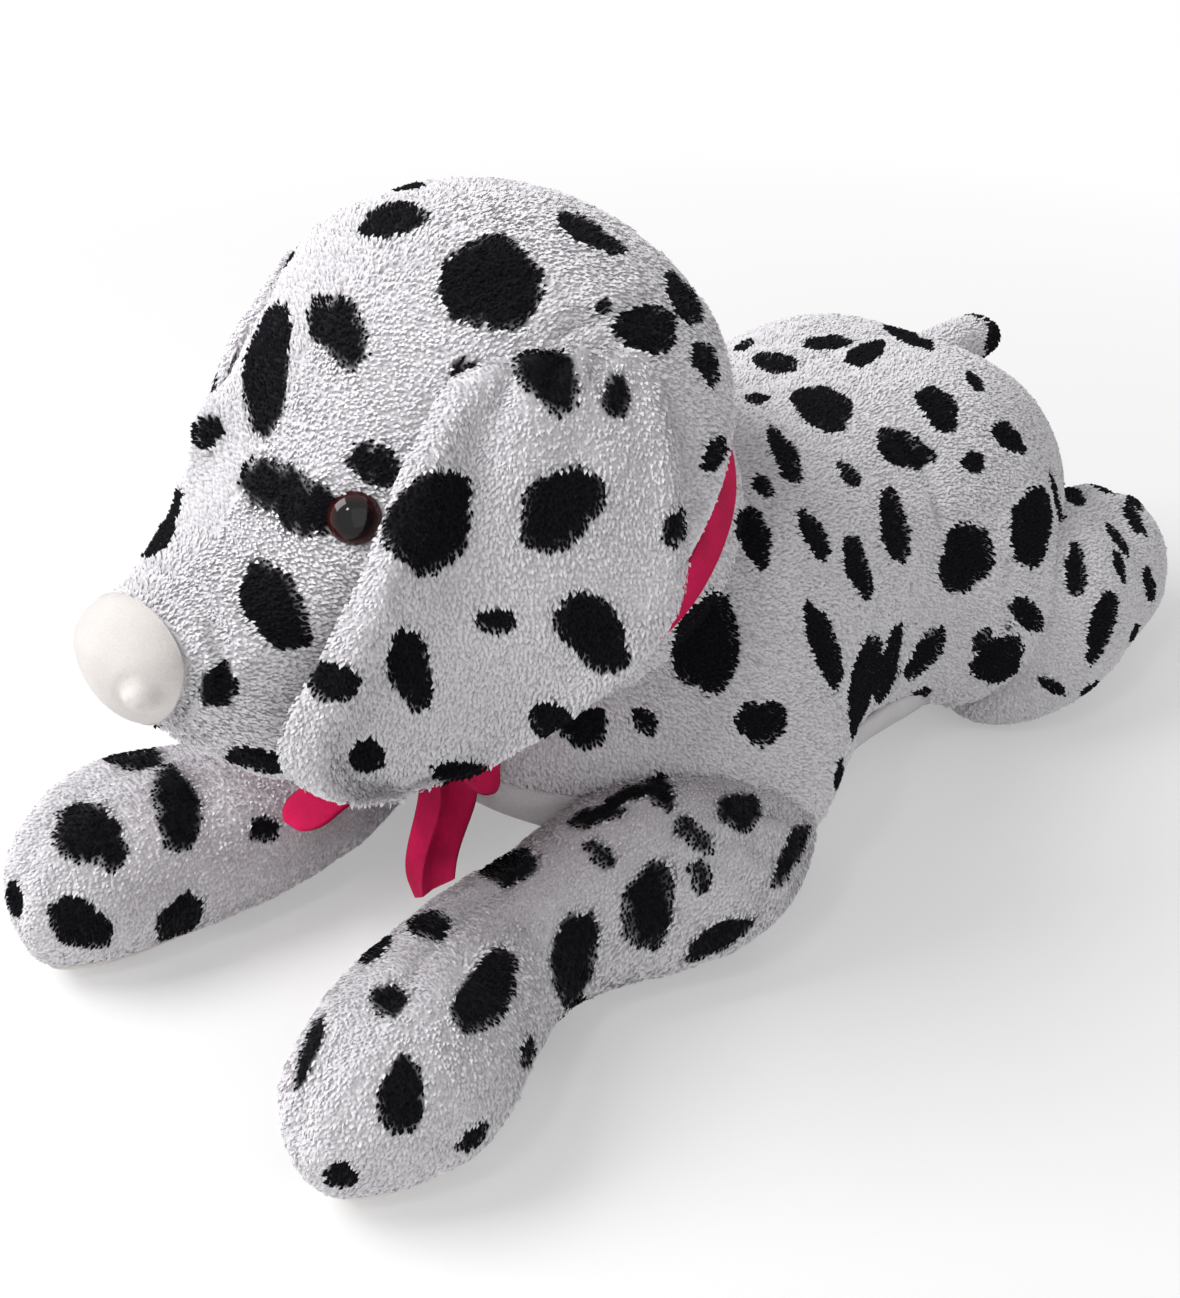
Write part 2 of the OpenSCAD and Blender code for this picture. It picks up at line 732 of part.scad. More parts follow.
module foreleg_inner(sign) {
    color(pile_white) soft_solid() mirrored(sign) difference() {
        foreleg_shell();
        beyond(paw_spacing / 2);
        forepaw_sole_side();
    }
}

module forepaw_sole(sign) {
    color(sole_cream) soft_solid() mirrored(sign) intersection() {
        foreleg_shell();
        forepaw_sole_side();
    }
}

module foreleg_stuffing(sign) {
    mirrored(sign) limb_stuffing(foreleg_form, foreleg_pivot, -splay_poses);
}

module hindleg_outer(sign) {
    color(pile_white) soft_solid() mirrored(sign) difference() {
        intersection() {
            hindleg_shell();
            beyond(foot_spacing / 2);
        }
        hindpaw_sole_side();
    }
}

module hindleg_inner(sign) {
    color(pile_white) soft_solid() mirrored(sign) difference() {
        hindleg_shell();
        beyond(foot_spacing / 2);
        hindpaw_sole_side();
    }
}

module hindpaw_sole(sign) {
    color(sole_cream) soft_solid() mirrored(sign) intersection() {
        hindleg_shell();
        hindpaw_sole_side();
    }
}

module hindleg_stuffing(sign) {
    mirrored(sign) limb_stuffing(hindleg_form, hip_pivot, splay_poses);
}

module tail_cover() {
    color(pile_white) soft_solid() difference() {
        shell(tail_form, tail_grid, tail_grid);
        torso_room(tail_pivot, wag_poses);
    }
}

module tail_stuffing() {
    color(fibre_white) soft_solid() difference() {
        form_solid(inset(tail_form, cover_t + clearance), tail_grid);
        torso_room(tail_pivot, wag_poses);
    }
}

torso_side_cover(1);  // torso_left_cover
torso_side_cover(-1);  // torso_right_cover
belly_panel();
torso_stuffing();
stuffed_neck();
neck_ribbon();
ribbon_knot();
bow_loop(1);  // bow_loop_left
bow_loop(-1);  // bow_loop_right
ribbon_end(end_in, left_run);  // ribbon_end_left
ribbon_end(-ribbon_right_in - bow_w, right_run);  // ribbon_end_right
face_side_cover(1);  // face_left_cover
face_side_cover(-1);  // face_right_cover
head_back_cover();
nose_pad();
head_stuffing();
eye_dome(1);  // left_eye_dome
eye_dome(-1);  // right_eye_dome
eye_pupil(1);  // left_eye_pupil
eye_pupil(-1);  // right_eye_pupil
eye_shank(1);  // left_eye_shank
eye_shank(-1);  // right_eye_shank
eye_washer(1);  // left_eye_washer
eye_washer(-1);  // right_eye_washer
ear_outer(1);  // left_ear_outer
ear_lining(1);  // left_ear_lining
ear_outer(-1);  // right_ear_outer
ear_lining(-1);  // right_ear_lining
foreleg_outer(1);  // left_foreleg_outer
foreleg_inner(1);  // left_foreleg_inner
forepaw_sole(1);  // left_forepaw_sole
foreleg_stuffing(1);  // left_foreleg_stuffing
foreleg_outer(-1);  // right_foreleg_outer
foreleg_inner(-1);  // right_foreleg_inner
forepaw_sole(-1);  // right_forepaw_sole
foreleg_stuffing(-1);  // right_foreleg_stuffing
hindleg_outer(1);  // left_hindleg_outer
hindleg_inner(1);  // left_hindleg_inner
hindpaw_sole(1);  // left_hindpaw_sole
hindleg_stuffing(1);  // left_hindleg_stuffing
hindleg_outer(-1);  // right_hindleg_outer
hindleg_inner(-1);  // right_hindleg_inner
hindpaw_sole(-1);  // right_hindpaw_sole
hindleg_stuffing(-1);  // right_hindleg_stuffing
tail_cover();
tail_stuffing();
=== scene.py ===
"""Plush dog lying on its belly: pile covers, velour nose, safety eyes and a felt ribbon on the CAD frame."""

import logging
from dataclasses import dataclass, field
from enum import Enum

import bpy
import numpy as np
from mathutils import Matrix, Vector


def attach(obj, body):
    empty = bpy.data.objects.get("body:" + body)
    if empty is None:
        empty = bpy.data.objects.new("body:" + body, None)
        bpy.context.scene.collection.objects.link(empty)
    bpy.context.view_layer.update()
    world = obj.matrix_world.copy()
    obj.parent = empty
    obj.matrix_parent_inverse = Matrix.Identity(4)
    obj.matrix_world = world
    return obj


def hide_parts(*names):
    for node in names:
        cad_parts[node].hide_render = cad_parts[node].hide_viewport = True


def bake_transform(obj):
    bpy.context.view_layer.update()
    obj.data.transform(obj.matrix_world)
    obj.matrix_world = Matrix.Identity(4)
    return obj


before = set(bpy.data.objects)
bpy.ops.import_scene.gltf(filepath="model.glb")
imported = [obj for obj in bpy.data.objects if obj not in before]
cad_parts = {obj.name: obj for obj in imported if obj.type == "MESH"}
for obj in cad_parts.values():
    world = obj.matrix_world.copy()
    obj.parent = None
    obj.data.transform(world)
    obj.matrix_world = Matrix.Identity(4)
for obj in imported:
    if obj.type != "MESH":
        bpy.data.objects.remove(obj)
log = logging.getLogger("plush_dog")

Array = np.ndarray
MM = 0.001
SEED = 7

# Where a form's ends are cut off, and the depth that stands for a point beyond them
FORM_END = 0.999
FAR_OUT = 9.0
# Half width of the strip held beside a seam while a cover is filled, in mm, and how firmly it is held
SEAM_HOLD = 5.0
SEAM_FIRM = 1.4
# Depth in the body's form from which a leg or the tail has pile
PILE_FROM = 0.93


class Side(Enum):
    """The dog's own left is +X and its right is -X."""

    LEFT = 1
    RIGHT = -1

    @property
    def word(self) -> str:
        """The side's name as the CAD nodes and bodies spell it."""
        return self.name.lower()


class Surface(Enum):
    """The finishes that a piece can be dressed in, by the record's slot name."""

    PILE = "pile"
    SHORT_PILE = "short_pile"
    VELOUR = "velour"
    RIBBON = "ribbon"
    EYE = "eye_brown"


def unit(v: Array) -> Array:
    """Each vector divided by its own length.

    Args:
        v: Vectors along the last axis.

    Returns:
        Vectors of length 1.
    """
    return v / np.maximum(np.linalg.norm(v, axis=-1, keepdims=True), 1e-9)


def signed_power(x: Array, p: float) -> Array:
    """The power of the size of x, with the sign of x."""
    return np.sign(x) * np.abs(x) ** p


def smooth(x: Array) -> Array:
    """The smooth step 3x^2 - 2x^3 of x held between 0 and 1."""
    t = np.clip(x, 0.0, 1.0)
    return t * t * (3.0 - 2.0 * t)


def bell(d: Array, width: float) -> Array:
    """The bell curve exp(-(d / width)^2)."""
    return np.exp(-(d / width) ** 2)


def cubic(us: Array, vs: Array, u: Array) -> Array:
    """A cubic through given values, each slope taken from its neighbours.

    Args:
        us: Rising places of the given values, shape (k,).
        vs: The values there, shape (k, m).
        u: Places to read.

    Returns:
        The values at u, along the last axis.
    """
    k = np.arange(len(us))
    after, before = np.minimum(k + 1, k[-1]), np.maximum(k - 1, 0)
    slope = (vs[after] - vs[before]) / (us[after] - us[before])[:, None]
    i = np.clip(np.searchsorted(us, u, side="right") - 1, 0, len(us) - 2)
    h = (us[i + 1] - us[i])[..., None]
    t = (u - us[i])[..., None] / h
    return (vs[i] * (2 * t**3 - 3 * t**2 + 1) + slope[i] * h * (t**3 - 2 * t**2 + t)
            + vs[i + 1] * (3 * t**2 - 2 * t**3) + slope[i + 1] * h * (t**3 - t**2))


def cells(a: Array, b: Array) -> Array:
    """Two triangles for each cell between two sets of rows of vertex numbers; columns go round.

    Args:
        a: Vertex numbers, shape (rows, columns).
        b: Vertex numbers of each row's next row.

    Returns:
        Vertex numbers, shape (triangles, 3).
    """
    a2, b2 = np.roll(a, -1, axis=1), np.roll(b, -1, axis=1)
    return np.concatenate([np.stack(corners, -1).reshape(-1, 3) for corners in ((a, b, b2), (a, b2, a2))])


def distance_to_line(p: Array, line: Array) -> Array:
    """Least distance from each point to a line of straight pieces.

    Args:
        p: Points, shape (..., 3).
        line: The line's corners, shape (k, 3).

    Returns:
        Distances, shape (...).
    """
    flat = p.reshape(-1, 1, 3)
    a = line[:-1][None]
    d = np.diff(line, axis=0)[None]
    t = np.clip(((flat - a) * d).sum(-1) / np.maximum((d * d).sum(-1), 1e-9), 0.0, 1.0)
    gap = np.linalg.norm(flat - a - d * t[..., None], axis=-1)
    return gap.min(axis=1).reshape(p.shape[:-1])


def lumps(p: Array, size: float, seed: int) -> Array:
    """Slow unevenness: the mean of 10 sine waves of seeded direction and about the given wavelength.

    Args:
        p: Points in mm, shape (..., 3).
        size: Wavelength in mm.
        seed: Seed of the directions and phases.

    Returns:
        Values between about -1 and 1, shape (...).
    """
    rng = np.random.default_rng(seed)
    ways = unit(rng.normal(size=(10, 3))) * rng.uniform(0.7, 1.4, (10, 1)) * 2 * np.pi / size
    return np.sin(p @ ways.T + rng.uniform(0, 2 * np.pi, 10)).mean(axis=-1) * 2.2


@dataclass(frozen=True)
class Form:
    """A stuffed shape of rounded sections along Y, the same curve as its CAD solid, in mm.

    At u from -1 to 1 a section has a centre (x, z), a half width, a rise and a drop. It closes towards
    both ends as (1 - |u|^k)^(1/k), with k = along, and k = below for the drop.
    """

    front: float
    back: float
    along: float
    below: float
    stations: tuple[tuple[float, tuple[float, float, float, float, float]], ...]
    power: float = 1.0

    def mirrored(self, side: Side) -> "Form":
        """This form on the given side of the dog."""
        turned = tuple((u, (side.value * v[0], *v[1:])) for u, v in self.stations)
        return Form(self.front, self.back, self.along, self.below, turned, self.power)

    def at(self, u: Array) -> Array:
        """Section values at u: a cubic through the stations.

        Args:
            u: Places along the form, -1 to 1.

        Returns:
            Centre x, centre z, half width, rise and drop along the last axis.
        """
        us = np.array([s[0] for s in self.stations])
        vs = np.array([s[1] for s in self.stations], float)
        return cubic(us, vs, u)

    def close(self, u: Array, k: float) -> Array:
        """How full the form still is at u: (1 - |u|^k)^(1/k)."""
        return np.maximum(0.0, 1.0 - np.abs(u) ** k) ** (1.0 / k)

    def point(self, u: Array, angle: Array) -> Array:
        """The surface point at u and an angle round the section, from +X towards +Z.

        Args:
            u: Places along the form, -1 to 1.
            angle: Angles in degrees.

        Returns:
            Points in mm, with x, y and z along the last axis.
        """
        u, angle = np.broadcast_arrays(np.asarray(u, float), np.asarray(angle, float))
        v = self.at(u)
        c = signed_power(np.cos(np.radians(angle)), self.power)
        s = signed_power(np.sin(np.radians(angle)), self.power)
        reach = self.reach(u, v, s > 0)
        x = v[..., 0] + v[..., 2] * self.close(u, self.along) * c
        return np.stack([x, self.y_at(u), v[..., 1] + reach * s], -1)

    def y_at(self, u: Array) -> Array:
        """The y of the place u."""
        return self.front + (self.back - self.front) * (u + 1) / 2

    def u_at(self, y: Array) -> Array:
        """The place u at y."""
        return 2 * (y - self.front) / (self.back - self.front) - 1

    def reach(self, u: Array, v: Array, up: Array) -> Array:
        """How far the section reaches from its centre: its rise where up is true, and its drop elsewhere."""
        return np.where(up, v[..., 3] * self.close(u, self.along), v[..., 4] * self.close(u, self.below))

    def normal(self, u: Array, angle: Array) -> Array:
        """Outward unit normal: the cross product of the slopes along the form and round it."""
        step = self.point(u + 0.01, angle) - self.point(u - 0.01, angle)
        turn = self.point(u, np.asarray(angle) + 0.5) - self.point(u, np.asarray(angle) - 0.5)
        return unit(np.cross(step, turn))

    def depth(self, p: Array) -> Array:
        """How deep points lie: below 1 inside the form, 1 on its surface, above 1 outside.

        Args:
            p: Points in mm, shape (..., 3).

        Returns:
            The section's own curve at each point, shape (...).
        """
        u = self.u_at(p[..., 1])
        out = np.abs(u) >= FORM_END
        u = np.clip(u, -FORM_END, FORM_END)
        v = self.at(u)
        dz = p[..., 2] - v[..., 1]
        k = 2 / self.power
        value = (np.abs((p[..., 0] - v[..., 0]) / (v[..., 2] * self.close(u, self.along))) ** k
                 + np.abs(dz / self.reach(u, v, dz > 0)) ** k) ** (1 / k)
        return np.where(out, FAR_OUT, value)


TORSO = Form(-218, 218, 2.6, 5, (
    (-1.0, (0, 112, 108, 120, 56)), (-0.5, (0, 94, 118, 138, 84)), (0.0, (0, 94, 102, 114, 94.5)),
    (0.5, (0, 94, 112, 114, 94.5)), (1.0, (0, 94, 104, 92, 94.5))), 0.82)
HEAD = Form(-380, -70, 2.6, 2.6, (
    (-1.0, (0, 222, 53, 30, 58)), (-0.68, (0, 222, 54, 42, 92)), (-0.48, (0, 222, 60, 71, 100)),
    (-0.28, (0, 222, 76, 104, 100)), (0.1, (0, 222, 113, 136, 100)), (1.0, (0, 222, 113, 118, 100))))
FORELEG = Form(-387, -87, 2.6, 5, (
    (-1.0, (98, 46, 52, 54, 46.5)), (-0.6, (98, 46, 52, 54, 46.5)), (-0.05, (77, 46, 36, 40, 43)),
    (0.5, (104, 56, 49, 62, 50)), (1.0, (104, 56, 49, 62, 50))))
HINDLEG = Form(70, 246, 2.6, 5, (
    (-1.0, (92, 58, 60, 84, 58.5)), (-0.4, (92, 58, 60, 84, 58.5)), (0.3, (85, 46, 54, 60, 46.5)),
    (1.0, (85, 46, 54, 60, 46.5))))
TAIL = Form(136, 212, 2.6, 2.6, ((-1.0, (0, 174, 14, 14, 14)), (1.0, (0, 166, 14, 14, 14))))

NECK_AT = np.array([0.0, -154.0, 196.0])
NECK_TILT = np.radians(37.0)
NECK_AXIS = np.array([0.0, -np.sin(NECK_TILT), np.cos(NECK_TILT)])
NECK_FRONT = np.array([0.0, -np.cos(NECK_TILT), -np.sin(NECK_TILT)])
# How far the covers lie inside their forms, besides the depth of their filling, in mm
SKIN_IN = 2.0


def neck_place(p: Array) -> tuple[Array, Array]:
    """Height above the neck's seam plane and distance from the neck's axis, in mm.

    Args:
        p: Points in mm, shape (..., 3).

    Returns:
        The two arrays, shape (...).
    """
    d = p - NECK_AT
    h = d @ NECK_AXIS
    return h, np.linalg.norm(d - h[..., None] * NECK_AXIS, axis=-1)


def neck_spokes(angle: Array) -> Array:
    """Unit vectors square to the neck's axis, from +X towards its front, at angles in radians."""
    return np.cos(angle)[:, None] * np.array([1.0, 0, 0]) + np.sin(angle)[:, None] * NECK_FRONT


@dataclass(frozen=True)
class PhotoCamera:
    """The camera of the photograph, in mm and pixels."""

    place: tuple[float, float, float] = (559.5, -706.7, 633.0)
    azimuth: float = 43.6
    elevation: float = 33.0
    focal: float = 2000.0
    width: int = 1180
    height: int = 1298
    sensor: float = 36.0

    def axes(self) -> tuple[Array, Array, Array]:
        """Unit vectors to the right, downwards and forwards in the picture."""
        a, e = np.radians(self.azimuth), np.radians(self.elevation)
        right = np.array([np.cos(a), np.sin(a), 0.0])
        ahead = np.array([-np.sin(a) * np.cos(e), np.cos(a) * np.cos(e), -np.sin(e)])
        return right, np.cross(ahead, right), ahead

    def project(self, p: Array) -> tuple[Array, Array, Array]:
        """Pixel x, pixel y and depth of points in mm."""
        right, down, ahead = self.axes()
        d = p - np.array(self.place)
        depth = d @ ahead
        x = self.width / 2 + self.focal * (d @ right) / depth
        return x, self.height / 2 + self.focal * (d @ down) / depth, depth

    def rays(self, x: Array, y: Array) -> Array:
        """Unit vectors from the camera through pixels."""
        right, down, ahead = self.axes()
        across = np.asarray(x, float)[..., None] - self.width / 2
        below = np.asarray(y, float)[..., None] - self.height / 2
        return unit(ahead * self.focal + right * across + down * below)

    def make(self) -> bpy.types.Object:
        """Adds the scene's camera, with the sensor across the picture's longer side."""
        data = bpy.data.cameras.new("photo_camera")
        data.sensor_width = self.sensor
        data.lens = self.focal / max(self.width, self.height) * self.sensor
        obj = bpy.data.objects.new("photo_camera", data)
        obj.location = Vector(self.place) * MM
        obj.rotation_euler = Vector(self.axes()[2]).to_track_quat("-Z", "Y").to_euler()
        bpy.context.collection.objects.link(obj)
        bpy.context.scene.camera = obj
        return obj


PHOTO = PhotoCamera()


class Skin:
    """A closed cover as a grid of points: rows run from one end to the other, columns go round."""

    def __init__(self, name: str, points: Array) -> None:
        """Keeps the grid.

        Args:
            name: The cover's name.
            points: Grid of shape (rows, columns, 3) in mm; the first and last row close to a point.
        """
        self.name = name
        self.points = points
        self.close_ends()

    @classmethod
    def over(cls, name: str, form: Form, rows: int, columns: int, inset: float) -> "Skin":
        """A cover over a form, with rows closer together towards both ends.

        Args:
            name: The cover's name.
            form: The form that it follows.
            rows: Number of rows.
            columns: Number of columns.
            inset: How far it lies inside the form, in mm.

        Returns:
            The cover.
        """
        u = -np.cos(np.linspace(0, np.pi, rows))[:, None]
        angle = (np.arange(columns) * 360.0 / columns - 90.0)[None]
        skin = cls(name, form.point(u, angle))
        skin.push(np.full((rows, columns), -inset))
        return skin

    def close_ends(self) -> None:
        """Draws the first and the last row together to their middle."""
        self.points[0] = self.points[0].mean(axis=0)
        self.points[-1] = self.points[-1].mean(axis=0)

    def normals(self) -> Array:
        """Outward normals: the cross product of the grid's two slopes; the ends take a mean."""
        along = np.gradient(self.points, axis=0)
        around = np.roll(self.points, -1, axis=1) - np.roll(self.points, 1, axis=1)
        n = unit(np.cross(along, around))
        n[0] = unit(n[1].mean(axis=0))
        n[-1] = unit(n[-2].mean(axis=0))
        return n

    def push(self, amount: Array) -> None:
        """Moves each point along its normal by the given amount in mm."""
        self.points = self.points + self.normals() * amount[..., None]
        self.close_ends()

    def groove(self, line: Array, width: float, depth: float, puff: float = 0.0) -> None:
        """Presses a seam or crease into the cover: a bell-shaped valley with a soft swell on both sides.

        Args:
            line: The seam's corners in mm.
            width: Half width of the valley.
            depth: Depth of the valley.
            puff: Height of the swell beside it.
        """
        d = distance_to_line(self.points, line)
        self.push(puff * bell(d - 2.6 * width, 1.6 * width) - depth * bell(d, width))

    def at(self, row: Array, column: Array, grid: Array) -> Array:
        """Reads a grid between its points by straight lines both ways; columns go round.

        Args:
            row: Row places.
            column: Column places.
            grid: Grid of the cover's own shape.

        Returns:
            The values there.
        """
        rows, columns = self.points.shape[:2]
        i = np.clip(row.astype(int), 0, rows - 2)
        j = np.floor(column).astype(int)
        f, g = (row - i)[:, None], (column - j)[:, None]
        j, k = j % columns, (j + 1) % columns
        return ((grid[i, j] * (1 - g) + grid[i, k] * g) * (1 - f)
                + (grid[i + 1, j] * (1 - g) + grid[i + 1, k] * g) * f)

    def faces(self) -> Array:
        """Triangles of the closed grid: each end is a fan about one vertex.

        Returns:
            Vertex numbers, shape (triangles, 3).
        """
        rows, columns = self.points.shape[:2]
        body = np.arange((rows - 2) * columns).reshape(rows - 2, columns) + 1
        sides = cells(body[:-1], body[1:])
        last = (rows - 2) * columns + 1
        head = np.stack([np.zeros(columns, int), body[0], np.roll(body[0], -1)], -1)
        tail = np.stack([np.full(columns, last), np.roll(body[-1], -1), body[-1]], -1)
        return np.concatenate([sides, head, tail])

    def flat(self, grid: Array) -> Array:
        """A grid's values in the order of the mesh's vertices: one for each end, and every row between."""
        inner = grid[1:-1].reshape(-1, *grid.shape[2:])
        return np.concatenate([grid[:1, 0], inner, grid[-1:, 0]])

    def mesh(self, name: str | None = None) -> bpy.types.Object:
        """Makes the cover's mesh object."""
        return make_mesh(name or self.name, self.flat(self.points), self.faces())


def make_mesh(name: str, points: Array, faces: Array) -> bpy.types.Object:
    """Puts points in mm and triangles into a new smooth mesh object at the origin.

    Args:
        name: The piece's name.
        points: Vertices in mm, shape (n, 3).
        faces: Vertex numbers, shape (m, 3).

    Returns:
        The object.
    """
    mesh = bpy.data.meshes.new(name)
    mesh.vertices.add(len(points))
    mesh.vertices.foreach_set("co", (points * MM).astype(np.float32).ravel())
    mesh.loops.add(faces.size)
    mesh.loops.foreach_set("vertex_index", faces.astype(np.int32).ravel())
    mesh.polygons.add(len(faces))
    mesh.polygons.foreach_set("loop_start", np.arange(0, faces.size, 3, dtype=np.int32))
    mesh.polygons.foreach_set("use_smooth", np.ones(len(faces), dtype=bool))
    mesh.update()
    mesh.validate()
    obj = bpy.data.objects.new(name, mesh)
    bpy.context.collection.objects.link(obj)
    return obj


def set_values(obj: bpy.types.Object, name: str, values: Array) -> None:
    """Stores one number for each vertex under an attribute's name."""
    layer = obj.data.attributes.new(name, "FLOAT", "POINT")
    layer.data.foreach_set("value", values.astype(np.float32).ravel())


@dataclass(frozen=True)
class Filling:
    """How a cover is filled: by what depth it starts too small, and how far a point may move, in mm.

    The other values are the cloth's: pressure of the stuffing, how much longer the cloth is cut than the
    unfilled shape, as a share, and the settings of its simulation.
    """

    depth: float
    cap: float
    pressure: float = 100.0
    loose: float = 0.02
    quality: int = 4
    mass: float = 0.25
    tension: float = 12.0
    compression: float = 6.0
    bending: float = 0.4
    frames: int = 20

    def into(self, skin: Skin, held: Array) -> None:
        """Args:
            skin: The cover, which takes the filled shape.
            held: 1 on the seams, falling to 0 away from them, for each grid point.
        """
        swell(skin, smooth(held * SEAM_FIRM), self)


def swell(skin: Skin, held: Array, filling: Filling) -> None:
    """Fills a loose cover by cloth simulation: pressure inside, no gravity, seams held, movement capped.

    Args:
        skin: The cover, which takes the filled shape.
        held: How firmly each grid point is held, 0 to 1.
        filling: The cloth's values.
    """
    obj = skin.mesh(skin.name + "_filling")
    group = obj.vertex_groups.new(name="held")
    weight = skin.flat(held)
    for level in np.unique(np.round(weight, 1)):
        group.add(np.flatnonzero(np.round(weight, 1) == level).tolist(), float(level), "REPLACE")
    cloth = obj.modifiers.new("filling", "CLOTH")
    cloth.settings.quality = filling.quality
    cloth.settings.mass = filling.mass
    cloth.settings.tension_stiffness = filling.tension
    cloth.settings.compression_stiffness = filling.compression
    cloth.settings.bending_stiffness = filling.bending
    cloth.settings.vertex_group_mass = "held"
    cloth.settings.shrink_min = -filling.loose
    cloth.settings.use_pressure = True
    cloth.settings.uniform_pressure_force = filling.pressure
    cloth.settings.effector_weights.gravity = 0
    cloth.collision_settings.use_collision = False
    cloth.point_cache.frame_end = filling.frames
    scene = bpy.context.scene
    for step in range(1, filling.frames + 1):
        scene.frame_set(step)
    shape = obj.evaluated_get(bpy.context.evaluated_depsgraph_get()).data
    end = np.empty(len(shape.vertices) * 3, np.float32)
    shape.vertices.foreach_get("co", end)
    scene.frame_set(1)
    mesh = obj.data
    bpy.data.objects.remove(obj)
    bpy.data.meshes.remove(mesh)
    move = end.reshape(-1, 3) / MM - skin.flat(skin.points)
    size = np.linalg.norm(move, axis=-1, keepdims=True)
    capped = 100 * (size > filling.cap).mean()
    log.info("%s: filled by %.1f mm on the whole, %.1f mm at most, %.0f%% of it past the cap", skin.name,
             size.mean(), size.max(), capped)
    move = move * np.minimum(1.0, filling.cap / np.maximum(size, 1e-6))
    rows, columns = skin.points.shape[:2]
    grid = np.concatenate([np.repeat(move[:1], columns, 0), move[1:-1], np.repeat(move[-1:], columns, 0)])
    skin.points = skin.points + grid.reshape(rows, columns, 3)
    skin.close_ends()


@dataclass(frozen=True)
class Spot:
    """A black spot as read in the photograph: its middle, length and width in pixels, and its lean.

    The lean is the turn of its long axis from the picture's right towards its bottom, in degrees.
    """

    name: str
    x: float
    y: float
    long: float
    wide: float
    lean: float = 0.0


